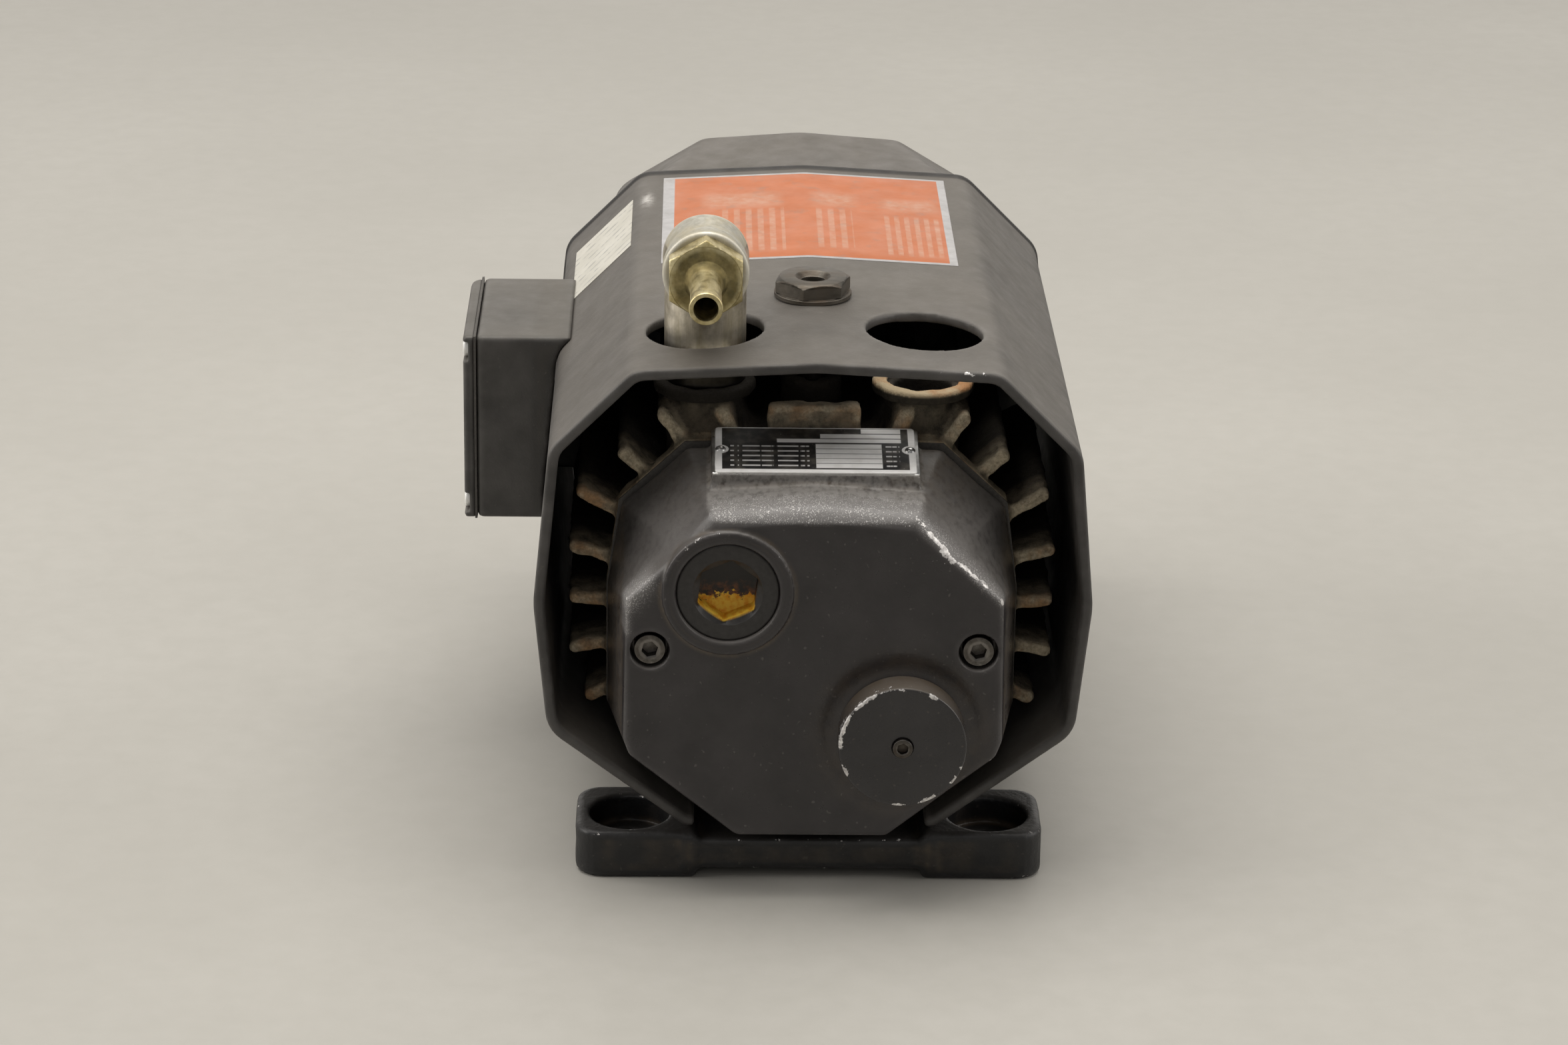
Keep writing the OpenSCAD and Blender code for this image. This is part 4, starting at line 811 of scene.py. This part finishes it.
def cover_marks():
    """Where the cover's paint is polished or worn through, where brown dust lies, and where painted
    highlights and painted light lie on it.
    """

    def near(x, z, ends, width):
        """1 on the line between two points of the front, fading over the width."""
        (ax, az), (bx, bz) = ends
        t = unit(((x - ax) * (bx - ax) + (z - az) * (bz - az)) / ((bx - ax) ** 2 + (bz - az) ** 2 + 1e-9))
        return np.exp(-(np.hypot(x - ax - t * (bx - ax), z - az - t * (bz - az)) / width) ** 2)

    strokes = [(((40.5, 168.5), (54, 153)), 1.5, 1.0), (((55, 152), (69, 140.5)), 1.2, 0.9),
               (((51, 155), (55, 151.5)), 2.6, 0.95), (((45, 151.5), (51.5, 150.8)), 0.8, 0.85),
               (((75.5, 136), (76.2, 133)), 1.8, 0.75), (((35.5, 166.2), (38.5, 166.6)), 0.9, 0.8),
               (((-63, 146), (-54, 153.5)), 0.7, 0.5), (((-54, 153.5), (-43, 165.5)), 0.8, 0.55),
               (((-76, 134.5), (-76.5, 128)), 0.9, 0.4), (((77, 120), (77, 90)), 0.7, 0.3),
               (((66, 57), (73, 63.5)), 0.9, 0.45), (((-72, 63), (-62, 55.5)), 0.9, 0.45)]

    def wear(x, y, z):
        front = np.exp(-(np.clip(y - FACE_Y - 1, 0, None) / 3.5) ** 2)
        # The thin arc on the boss's upper edge is a painted highlight, drawn as worn paint.
        boss_highlight = np.exp(-((np.hypot(x - PLUG_X, z - PLUG_Z) - 26.5) / 0.9) ** 2) * (z > PLUG_Z + 12)
        worn = 0.3 * boss_highlight
        for ends, width, strength in strokes:
            worn = np.maximum(worn, strength * near(x, z, ends, width))
        return worn * front

    def polish_and_highlight(x, y, z):
        # Painted highlight, partly polished paint: a band on the crest, a line along the upper right edge, and
        # a patch and a line on the lower left facet.
        front = 1 - unit((y + 107) / 11)
        crest = unit((z - 166.3) / 1.6) * front * unit((43.5 - np.abs(x)) / 2)
        edge = 0.75 * near(x, z, ((40.5, 168.5), (76, 134.5)), 2.2) * front
        left = 0.9 * near(x, z, ((-70, 141), (-76, 134.5)), 5.0) * front
        left = left + 0.5 * near(x, z, ((-76.5, 150), (-76.5, 120)), 2.0) * front
        return unit(np.maximum(crest, np.maximum(edge, left)))

    def soil(x, y, z):
        top = unit((z - 158) / 20) * unit((y - FACE_Y - 8) / 14)
        halo = np.exp(-((np.hypot(x - CAP_X, z - CAP_Z) - 31) / 6) ** 2) * 0.3
        side = 0.5 * (np.abs(x) > 77.5) * (y > FACE_Y + 6)
        return unit(0.7 * top * (0.5 + 0.5 * (x > 30)) + halo + side)

    def pale_marks_and_highlight(x, y, z):
        # Painted highlight along the upper left back outline, and pale dust that is partly painted light
        # behind the front face, more on the top and on the right side.
        line = near(x, z, ((-80, 157), (-53, 182.5)), 1.4) * np.exp(-((y + 61.5) / 2) ** 2)
        back = unit((y - FACE_Y - 4) / 8)
        top = unit((z - 164) / 8) * (np.abs(x) < 44)
        return np.maximum(0.45 * line, back * (0.2 * top + 0.06 + 0.03 * (x > 0)))

    return {"wear": wear, "soil": soil, "polish_and_highlight": polish_and_highlight, "pale_marks_and_highlight": pale_marks_and_highlight}


def build_front_cover():
    g = Grid([(-88, 88, 1.0)], [(-115, -100, 0.8), (-100, -57, 1.4)], [(17, 190, 1.0)])
    flat = tapered(g, COVER_FRONT, COVER_BACK, FACE_Y, COVER_BACK_Y, COVER_CORNERS)
    from_cap = np.hypot(g.x - CAP_X, g.z - CAP_Z)
    dip = 1.1 * np.exp(-((from_cap - 29.5) / 4.5) ** 2)
    crest = 2.6 + 3.4 * unit((g.z - 150) / 16)
    body = meet(flat, np.maximum(FACE_Y + dip - g.y, g.y - COVER_BACK_Y), crest)
    pad = outline_field([(PLATE_Y, 170), (COVER_BACK_Y, 170),
                         (COVER_BACK_Y, PLATE_Z + (COVER_BACK_Y - PLATE_Y) * math.tan(PLATE_TILT)),
                         (PLATE_Y, PLATE_Z)], g.y, g.z)
    body = join(body, meet(pad, np.abs(g.x) - 42.2, 0.6), 2)
    body = cut(body, np.maximum(flat + 5, between(g.y, FACE_Y + 5, 0)), 1)
    body = join(body, g.round_y(26.5, FACE_Y - 1.7, FACE_Y + 20, PLUG_X, PLUG_Z, 0.6), 0.4)
    for s in (-1, 1):
        body = join(body, g.round_y(9.5, FACE_Y + 4, COVER_BACK_Y, s * SCREW_X, SCREW_Z), 0.5)
    body = cut(body, g.round_y(20.95, FACE_Y - 3, FACE_Y + 14, PLUG_X, PLUG_Z), 1.3)
    body = cut(body, g.round_y(17, FACE_Y, FACE_Y + 40, PLUG_X, PLUG_Z), 0.3)
    body = cut(body, g.round_y(22, FACE_Y - 3, FACE_Y + 40, CAP_X, CAP_Z), 0.3)
    for s in (-1, 1):
        body = cut(body, g.round_y(7.9, FACE_Y - 3, FACE_Y + 9, s * SCREW_X, SCREW_Z), 0.8)
    moulded("front_cover_shell", body, g, "black_paint", ["front_cover"], cover_marks())


def build_cover_fittings():
    front = (0, -1, 0)
    cap = fillets([(0, 22), (0, 26), (13.6, 26, 2.0), (13.6, 23.6), (13.6, 22.6), (13.6, 4.4, 0.5),
                   (12.6, 4.1, 0.2), (12.6, 2.4)], 0.8, 5)

    def rim_wear(x, y, z):
        """Paint lost along the rim: most on the left, some on top, dashes below."""
        angle = np.degrees(np.arctan2(y, x)) % 360
        share = sum(w * np.exp(-((angle - a) / spread) ** 2) for a, spread, w in (
            (165, 22, 1.0), (125, 22, 0.75), (205, 7, 1.1), (88, 20, 0.5), (62, 7, 0.8), (236, 10, 0.5),
            (268, 11, 0.75), (296, 12, 0.95), (325, 8, 0.85), (340, 4, 0.6)))
        return np.clip(1.25 * share, 0.05, 1.2) * np.exp(-((np.hypot(x, y) - 25.3) / 1.2) ** 2) * (z > 11.6)

    turned("filter_cap_disc", [(0, 0)] + cap + [(12.6, 0)], facing(CAP_X, FACE_Y, CAP_Z, front),
           "cap_paint", ["filter_cap"], segments=160,
           marks={"wear": rim_wear, "soil": lambda x, y, z: 0.8 * (z < 11.5) * (np.hypot(x, y) > 25)})
    bolt = [(12.2, 0), (12.2, 3.9)]
    bolt += fillets([(12.3, 4.1), (15.2, 4.1, 0.8), (15.2, 3.0), (15.2, 2.6)], 0.4, 4)
    bolt += [(15.0, 2.35, 4.4, 20), (13.2, 2.3, 4.4, 20), (13.0, 0)]
    turned("filter_cap_bolt", bolt, facing(CAP_X, FACE_Y, CAP_Z, front), "dark_steel",
           ["filter_cap_screw"], segments=72)
    flats, turn = 23, 23
    rings = [(-13, 0), (-13, 20.9), (-0.7, 20.9), (-0.2, 20.5), (0, 20.0), (0, 19.6), (0, 14.6), (0, 14.2),
             (-0.5, 13.7), (-1.9, 13.1, flats, turn), (-2.6, 13.1, flats, turn), (-10.6, 13.0, flats, turn),
             (-11.6, 9), (-11.8, 0)]
    turned("socket_plug", rings, facing(PLUG_X, FACE_Y, PLUG_Z, front), "plug_steel", ["hex_plug"],
           segments=120)
    for side, s in (("left", -1), ("right", 1)):
        head = [(-8, 0), (-8, 6.3)] + fillets([(-8, 6.4), (0, 6.4, 0.9), (0, 5.0), (0, 4.0)], 0.5) + [
            (-0.3, 3.75, 6, 14), (-4.4, 3.6, 6, 14), (-5, 0)]
        turned(f"cover_bolt_{side}", head, facing(s * SCREW_X, FACE_Y + 1.4, SCREW_Z, front),
               "worn_steel", ["cover_screws"] if s < 0 else [], segments=72)


def plate_shape(name, width, base, paint, nodes):
    """Thin plate with round corners and no rivet holes, lying on the cover's tilted pad."""

    def edge(half, inset, radius):
        top = PLATE_LEN - inset
        return rounded([(-half, inset), (half, inset), (half, top), (-half, top)], [radius] * 4, 4)

    corners, inner = edge(width / 2, 0.2, 1.6), edge(width / 2 - 0.3, 0.5, 1.3)
    n = len(corners)
    points = [(x, y, base) for x, y in corners] + [(x, y, base + 0.55) for x, y in corners]
    points += [(x, y, base + 0.75) for x, y in inner]
    faces = [list(range(n))[::-1], list(range(2 * n, 3 * n))]
    for row in (0, n):
        faces += [(row + k, row + (k + 1) % n, row + n + (k + 1) % n, row + n + k) for k in range(n)]
    place = Matrix.Translation(Vector((0, PLATE_Y, PLATE_Z)) * MM) @ Matrix.Rotation(PLATE_TILT, 4, "X")
    made = new_object(name, points, faces, paint, nodes, place=place)
    made.data.set_sharp_from_angle(angle=math.radians(30))


# ---- pump casting, foot ----


def fin_places():
    """Angle and tip distance of each fin, as in the CAD."""
    for k in range(-4, 6):
        a = FIN_FIRST + k * FIN_STEP
        tip = min(d / max(math.cos(math.radians(a - b)), 0.1) for d, b in FIN_FACETS)
        yield math.radians(a), tip


def build_casting():
    g = Grid([(-108, 108, 1.1)], [(-61, -40, 1.0), (-40, -16, 1.6), (-16, 56, 4.5), (56, 62, 1.0)],
             [(25, 206, 1.1)])
    across = np.abs(g.x)
    up = g.z - BORE_Z
    core = np.hypot(g.x, up) - CORE_R
    fins = np.full(core.shape, 50.0, np.float32)
    for a, tip in fin_places():
        ux, uz = math.cos(a), math.sin(a)
        along = np.clip(across * ux + up * uz, 60, tip - 2.5)
        off = np.hypot(across - along * ux, up - along * uz)
        fins = np.minimum(fins, off - 2.7 - 0.9 * unit((tip - 12 - along) / 30))
    uneven = g.rough(9, 0.35)
    fins = meet(fins, between(g.y, FIN_FRONT, CASTING_BACK), 1.7)
    body = join(np.maximum(core, between(g.y, CASTING_FRONT, CASTING_BACK)), fins, 4.5)
    back = outline_field(symmetric(COVER_BACK, COVER_CORNERS), g.x, g.z)
    body = join(body, meet(back, between(g.y, CASTING_FRONT, CASTING_FRONT + 10), 1), 2)
    body = join(body, g.round_y(78, CASTING_BACK - 10, CASTING_BACK, 0, BORE_Z), 1)
    for s in (-1, 1):
        body = join(body, g.round_z(15.5, BORE_Z + 30, PORT_TOP - 1, s * PORT_X, PORT_Y), 5)
        body = join(body, g.round_z(21, PORT_TOP - 5, PORT_TOP, s * PORT_X, PORT_Y, 1.2), 1.5)
    body = join(body, g.block(-19, 19, CASTING_FRONT + 5, CASTING_FRONT + 13, BORE_Z + 60, 196, 1.2), 3)
    body = join(body, g.round_z(13, BORE_Z + 60, BORE_Z + 84, 0, NUT_Y, 0.6), 5)
    body = join(body, g.block(-42, 42, -44, 54, 28, 60, 1.5), 4)
    body = body + uneven * (up > -70) * unit((g.y - CASTING_FRONT) / 6)
    for s in (-1, 1):
        body = cut(body, g.round_z(12.1, 162, PORT_TOP + 9, s * PORT_X, PORT_Y), 0.8)
        body = cut(body, g.round_z(15, PORT_TOP - 2.6, PORT_TOP + 9, s * PORT_X, PORT_Y), 0.5)
    body = cut(body, g.round_y(50, CASTING_FRONT - 9, CASTING_BACK + 9, 0, BORE_Z))
    for y0, y1 in ((CASTING_FRONT - 9, -41), (41, CASTING_BACK + 9)):
        body = cut(body, g.round_y(60.2, y0, y1, 0, BORE_Z))
    body = cut(body, g.round_z(6.1, 175, 205, 0, NUT_Y))

    def tip(x, y, z):
        far = np.hypot(x, z - BORE_Z)
        lug = (z > 190) & (np.abs(x) < 20)
        neck = np.hypot(np.abs(x) - PORT_X, y - PORT_Y) < 17.5
        front = np.where(neck & (y > -53.4), 0.0, unit((-49.5 - y) / 3))
        return unit(unit((far - 80) / 10) + lug) * front * (z < PORT_TOP - 6)

    def shade(x, y, z):
        away = np.hypot(np.abs(x) - PORT_X, y - PORT_Y)
        collar = (0.85 + 0.12 * (x < 0)) * (z > PORT_TOP - 6) * (away < 22)
        return np.maximum(collar, 0.6 * (away < 17) * (z > SHAFT_Z + 56))

    def port(x, y, z):
        from_axis = np.hypot(np.abs(x) - PORT_X, y - PORT_Y)
        return ((from_axis > 14.8) & (from_axis < 21.5) & (z > PORT_TOP - 1.7) & (x > 0)).astype(float)

    moulded("pump_casting", body, g, "rusty_casting", ["cylinder"], {"tip": tip, "port": port, "shade": shade},
             reach=2.0)


def build_foot():
    g = Grid([(-99, 99, 1.1)], [(-92.5, 92.5, 1.1)], [(-1.5, 31, 0.9)])
    across, along = np.abs(g.x), np.abs(g.y)
    corners = [(47, 43.5), (97.5, 43.5), (97.5, 91), (47, 91)]
    pad = outline_field(rounded(corners, [1, 11, 11, 1]), across, along)
    body = meet(pad, between(g.z, 0, PAD_TOP), 2.4)
    arm = meet(between(along, 43.5, 91), across - 52, 0.5)
    body = join(body, meet(arm, between(g.z, 4.5, 18), 1.5), 3)
    body = join(body, g.block(-48, 48, -48, 48, 4.5, 18, 1.2), 3)
    for y in (-42, 28):
        body = join(body, g.block(-40, 40, y, y + 24, 4.5, 28, 0.8), 2)
    radius = np.hypot(across - PAD_X, along - PAD_Y)
    body = body - 0.7 * np.exp(-((radius - 18.6) / 1.5) ** 2) * (g.z > 15)
    body = np.maximum(body, g.z - PAD_TOP)
    for r, bottom, rounding in ((POCKET_R, 9, 1.0), (9.5, 7.6, 0.5), (FOOT_BOLT_R, -5, 0.4)):
        body = cut(body, np.maximum(radius - r, bottom - g.z), rounding)
    for s in (-1, 1):
        for y in (-30, 40):
            body = cut(body, np.maximum(np.hypot(g.x - 26 * s, g.y - y) - 7.6, g.z - 14), 0.3)
    body = body + 0.12 * g.rough(13, 1) * unit((g.z - 2) / 3) * unit((20.5 - g.z) / 2)
    moulded("foot_casting", body, g, "foot_paint", ["foot"])


# ---- fittings on the hood ----


def hexagon_rings(base, top, flats, turn, corner):
    """Rings of a hexagon head whose upper corners are turned off by a cone."""
    rings = [(base, flats / math.sqrt(3), flats, turn)]
    steps = 7
    drop = (corner - flats / 2 * 0.97) * math.tan(math.radians(30))
    for k in range(steps + 1):
        t = k / steps
        rings.append((top - drop * (1 - t), corner + (flats / 2 * 0.97 - corner) * t, flats, turn))
    return rings


def build_nut():
    flats = 28.4
    rings = [(0, 5.2), (0, 16.2)] + fillets([(0, 16.3), (1.7, 16.3, 0.6), (1.8, 15.4), (2.0, 15.2)], 0.3)[1:]
    rings += hexagon_rings(2.0, 8, flats, 14.5, flats / math.sqrt(3))
    rings += [(8, 7.6), (7.6, 7.0), (6.4, 5.8), (6.0, 5.2)]
    turned("hood_nut_body", rings, facing(0, NUT_Y, HOOD_TOP, (0, 0, 1)), "nut_steel", ["hood_nut"],
           segments=120)


def build_elbow():
    x = -PORT_X
    g = Grid([(x - 20, x + 20, 0.7)], [(-65, -17.5, 0.7)], [(184, 275, 0.8)])
    front = ELBOW_FRONT
    body = join(g.round_z(ELBOW_R, PORT_TOP, ELBOW_Z, x, PORT_Y, 0.6),
                np.sqrt((g.x - x) ** 2 + (g.y - PORT_Y) ** 2 + (g.z - ELBOW_Z) ** 2) - ELBOW_R, 0.3)
    body = join(body, g.round_y(ELBOW_R, front, PORT_Y, x, ELBOW_Z, 0.6), 3)
    body = join(body, g.round_y(17.6, front, front + 9, x, ELBOW_Z, 0.8), 0.6)
    body = join(body, g.round_z(12, 187, PORT_TOP + 1, x, PORT_Y, 0.5), 0.3)
    body = cut(body, g.round_z(8.5, 180, ELBOW_Z, x, PORT_Y))
    body = cut(body, g.round_y(8.5, front - 5, PORT_Y, x, ELBOW_Z))
    body = cut(body, g.round_y(10.4, front - 5, front + 12, x, ELBOW_Z), 0.4)
    made = moulded("inlet_elbow_body", body, g, "zinc_fitting", ["inlet_elbow"],
                   {"shade": lambda x, y, z: 0.95 * unit((221 - z) / 8)})
    made.data.materials.append(PAINTS["pale_zinc"])
    band = [p.center.z / MM > ELBOW_Z + 6 or (p.center.y / MM < front + 9.3 and p.center.z / MM > ELBOW_Z - 18)
            for p in made.data.polygons]
    made.data.polygons.foreach_set("material_index", [int(b) for b in band])


def build_hose_tail():
    flats, base = 29.5, 14.6
    corner = flats / math.sqrt(3)
    drop = (corner - base) * math.tan(math.radians(30))
    rings = [(-11, 4.8), (-11, 10.2), (0, 10.2), (0.02, base)]
    rings += [(0.05 + drop * t, base + (corner - base) * t, flats, 30) for t in np.linspace(0, 1, 6)]
    rings += hexagon_rings(3, 10, flats, 30, corner)[1:]
    rings += [(10, 9.4), (10.3, 8.8), (11.5, 8.1), (14, 7.2), (18, 6.55), (24, 6.3), (36, 6.3), (41, 6.55),
              (43.6, 6.8), (44.6, 6.75), (45, 6.45), (45, 5.0), (44.4, 4.8), (20, 4.8)]
    turned("hose_tail_body", rings, facing(-PORT_X, ELBOW_FRONT, ELBOW_Z, (0, -1, 0)), "brass", ["hose_tail"],
           segments=120)


def roof_label(name, half_width, y0, y1, paint, node):
    """Thin film that follows the two sides of the hood's roof."""
    slope = 4 / 74
    xs = [-half_width, -half_width + 0.4, -half_width / 2, -1.5,
          1.5, half_width / 2, half_width - 0.4, half_width]
    ys = [y0, y0 + 0.4] + list(np.linspace(y0 + 10, y1 - 10, 8)) + [y1 - 0.4, y1]

    def level(x, lift):
        return HOOD_TOP - max(abs(x), 1.5) * slope + 0.06 + lift

    points = [(x, y, level(x, 0.22 if 0 < i < len(xs) - 1 and 0 < j < len(ys) - 1 else 0.06))
              for i, x in enumerate(xs) for j, y in enumerate(ys)]
    n, m = len(ys), len(points)
    points += [(x, y, level(x, -0.04)) for x in xs for y in ys]
    faces = [(i * n + j, (i + 1) * n + j, (i + 1) * n + j + 1, i * n + j + 1)
             for i in range(len(xs) - 1) for j in range(n - 1)]
    faces += [(m + d, m + c, m + b, m + a) for a, b, c, d in faces]
    rim = [i * n for i in range(len(xs))] + [(len(xs) - 1) * n + j for j in range(1, n)]
    rim += [i * n + n - 1 for i in range(len(xs) - 2, -1, -1)] + list(range(n - 2, 0, -1))
    faces += [(a, m + a, m + b, b) for a, b in zip(rim, rim[1:] + rim[:1])]
    new_object(name, points, faces, paint, [node])


# ---- terminal box ----


def lid_screw_places():
    """Place of each lid screw across the lid, the front pair first."""
    low, high = box_mm("terminal_box_lid")
    return [(y, z) for y in (low.y + 7, high.y - 13) for z in (low.z + 7, high.z - 7)]


def build_terminal_box():
    low, high = box_mm("terminal_box_lid")
    face = high.x + 1
    g = Grid([(face - 1.8, -107, 0.9), (-107, -45, 2.0)], [(low.y - 2, high.y + 2, 0.95)],
             [(low.z - 2, high.z + 2, 0.95)])
    side = [(face, 112), (-105, 112), (-98, 195), (face, 195)]
    plan = rounded([(low.x, low.y - 20), (0, low.y - 20), (0, high.y), (low.x, high.y)],
                   [1, 1, 1, BOX_CORNER_R])
    body = meet(outline_field(rounded(side, [2.5, 1, 1, 2.5]), g.x, g.z), between(g.y, low.y, high.y), 2.2)
    body = meet(body, outline_field(plan, g.x, g.y), 1.5)
    hood = outline_field(symmetric(HOOD_HALF, HOOD_CORNERS), g.x, g.z)
    body = np.maximum(body, 0.15 - hood)
    neck = g.block(-117, -49, 71, 103, 122, 152, 2)
    neck = np.maximum(neck, 62.4 - np.hypot(g.x, g.z - SHAFT_Z))
    body = join(body, neck, 0.5)
    body = cut(body, g.block(face - 9, -119, low.y + BOX_WALL, high.y - BOX_WALL, 115, 192, 2), 0.5)
    body = cut(body, g.block(-125, -30, 74, 100, 125, 149, 1), 0.5)
    for y in (low.y + 7, high.y - 13):
        for z in BOX_BOSS_Z:
            body = join(body, g.round_x(4.6, face, -119, y, z), 0.5)
    moulded("terminal_box_body", body, g, "box_plastic", ["terminal_box"])
    g = Grid([(low.x - 1.5, high.x + 1.5, 0.55)], [(low.y - 2, high.y + 2, 0.85)],
             [(low.z - 2, high.z + 2, 0.85)])
    lid = g.block(low.x, high.x + 3, low.y, high.y, low.z, high.z, 2.0)
    lid = meet(lid, g.x - high.x, 0.3)
    lid = meet(lid, outline_field(plan, g.x, g.y), 1.5)
    rim = np.maximum(between(g.y, low.y + 9, high.y - 9), between(g.z, low.z + 9, high.z - 9))
    lid = lid + 0.45 * unit(1 - np.abs(rim) / 1.2) * (g.x < low.x + 2)
    for y, z in lid_screw_places():
        lid = cut(lid, g.round_x(LID_SCREW_R, low.x - 3, low.x + 2.7, y, z), 0.5)
    for y, z in lid_screw_places()[:2]:
        lid = cut(lid, g.block(low.x - 3, low.x + 2.7, low.y - 3, y, z - LID_SCREW_R, z + LID_SCREW_R), 0.5)
    moulded("terminal_box_cover", lid, g, "box_plastic", ["terminal_box_lid"])


def build_gland():
    rings = [(0, 4.5), (0, 12)] + [(0.4 * k, 11.4 + 0.2 * k, 22, 0) for k in range(4)]
    rings += hexagon_rings(1.2, 6, 22, 0, 12.7)[1:]
    rings += fillets([(6, 9.4), (6.2, 9.9, 0.2), (8, 9.8), (14.2, 7.9, 0.8), (15, 7.2, 0.3), (15, 5.2)], 0.4)
    rings += [(14.4, 4.5)]
    rear = box_mm("cable_gland")[1].y
    turned("cable_gland_nut", rings, facing(-131, rear - 15, 152, (0, 1, 0)), "box_plastic", ["cable_gland"])


def build_lid_screws():
    outer_face = box_mm("terminal_box_lid")[0].x
    for i, (y, z) in enumerate(lid_screw_places()):
        rings = [(0, 0), (0, 3.7)] + fillets([(0, 3.75), (2.0, 3.75, 0.9), (2.35, 2.2), (2.35, 1.6)], 0.4)[1:]
        rings += [(1.3, 1.4, 2.5, 0), (1.0, 0)]
        turned(f"lid_bolt_{i + 1}", rings, facing(outer_face + 2.6, y, z, (-1, 0, 0)), "pale_screw",
               ["lid_screws"] if i == 0 else [], segments=48)


BEARINGS = ("front", "middle", "rear")
CAD_PAINTS = {
    "black_paint": ["motor_housing", "motor_end_shield"],
    "dark_steel": ["foot_screws", "end_plate_screws", "motor_screws", "hood_stud"],
    "machined_iron": ["front_end_plate", "rear_end_plate", "rotor", "stator_core", "motor_rotor"],
    "steel": ["shaft", "rotor_key",
              *[f"{b}_bearing_{ring}_ring" for b in BEARINGS for ring in ("outer", "inner")]],
    "bright_steel": ["nameplate_rivets", "fan_cover_screws", *[f"{b}_bearing_balls" for b in BEARINGS]],
    "carbon": [f"vane_{i}" for i in range(1, 8)],
    "felt": ["shaft_seals"],
    "gasket": ["cover_gasket", "lid_gasket"],
    "filter_paper": ["inlet_filter", "exhaust_filter"],
    "copper": ["stator_windings"],
    "fan_plastic": ["fan"],
    "box_plastic": ["terminal_block"],
    "white_label": ["info_label"],
}


def paint_cad_nodes():
    """Paint the pieces that are seen little or not at all, which keep their CAD meshes."""
    for paint, nodes in CAD_PAINTS.items():
        for node in nodes:
            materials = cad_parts[node].data.materials
            materials.clear()
            materials.append(PAINTS[paint])


# ---- floor, light, camera ----


def build_stage():
    lines = np.linspace(-9, 9, 13)
    n = len(lines)
    points = [(x, y, 0) for x in lines for y in lines]
    faces = [(i * n + j, (i + 1) * n + j, (i + 1) * n + j + 1, i * n + j + 1)
             for i in range(n - 1) for j in range(n - 1)]
    mesh = bpy.data.meshes.new("floor")
    mesh.from_pydata(points, [], faces)
    mesh.materials.append(pale_floor())
    floor = placed("floor", mesh)


def area_light(name, place, target, size, power, colour):
    light = bpy.data.lights.new(name, "AREA")
    light.shape, light.size, light.size_y = "RECTANGLE", size[0], size[1]
    light.energy, light.color = power, colour
    made = placed(name, light)
    made.location = place
    made.rotation_euler = (Vector(target) - Vector(place)).to_track_quat("-Z", "Y").to_euler()


def build_light():
    world = bpy.data.worlds.new("studio")
    world.use_nodes = True
    colour, strength = world.node_tree.nodes["Background"].inputs[:2]
    colour.default_value, strength.default_value = (0.95, 0.93, 0.9, 1), 0.2
    bpy.context.scene.world = world
    centre = (0, 0, 0.12)
    area_light("ceiling", (-0.1, 0.25, 2.3), centre, (2.6, 1.8), 56, (1, 0.97, 0.92))
    area_light("back_wall", (0, 3.2, 1.1), (0, 0, 0.3), (5.0, 1.8), 26, (1, 0.96, 0.9))
    area_light("left_side", (-2.4, -0.1, 1.2), centre, (1.8, 1.6), 32, (1, 0.97, 0.93))
    area_light("right_side", (2.4, -0.3, 1.2), centre, (1.8, 1.6), 24, (1, 0.97, 0.93))
    area_light("front", (-0.3, -2.6, 1.3), centre, (1.4, 1.0), 3, (1, 0.98, 0.96))
    bpy.context.scene.view_settings.view_transform = "Standard"


def build_camera():
    """The photograph's camera, from a fit to the object's own edges."""
    yaw, pitch, roll = (math.radians(a) for a in (1.28, 21.0, 0.91))
    forward = Vector((math.sin(yaw) * math.cos(pitch), math.cos(yaw) * math.cos(pitch), -math.sin(pitch)))
    right = Vector((math.cos(yaw), -math.sin(yaw), 0))
    up = right.cross(forward)
    level_right = right * math.cos(roll) + up * math.sin(roll)
    level_up = up * math.cos(roll) - right * math.sin(roll)
    turn = Matrix((level_right, level_up, -forward)).transposed().to_4x4()
    data = bpy.data.cameras.new("camera")
    data.sensor_width, data.lens = 36, 36 * 6594 / 2352
    data.clip_start, data.clip_end = 0.05, 60
    camera = placed("camera", data)
    camera.matrix_world = Matrix.Translation(Vector((-49.7, -1750.3, 796.5)) * MM) @ turn
    bpy.context.scene.camera = camera


build_camera()
build_light()
build_stage()
paint_cad_nodes()
build_hood()
build_fan_cover()
build_front_cover()
build_cover_fittings()
plate_shape("nameplate_front", 81.4, 0.8, "plate_metal", ["nameplate"])
plate_shape("nameplate_back", 84.4, 0, "bright_steel", ["nameplate_backing"])
build_casting()
build_foot()
build_nut()
build_elbow()
build_hose_tail()
roof_label("warning_film", LABEL_HALF, LABEL_Y0, LABEL_Y1, "orange_label", "warning_label")
build_terminal_box()
build_gland()
build_lid_screws()
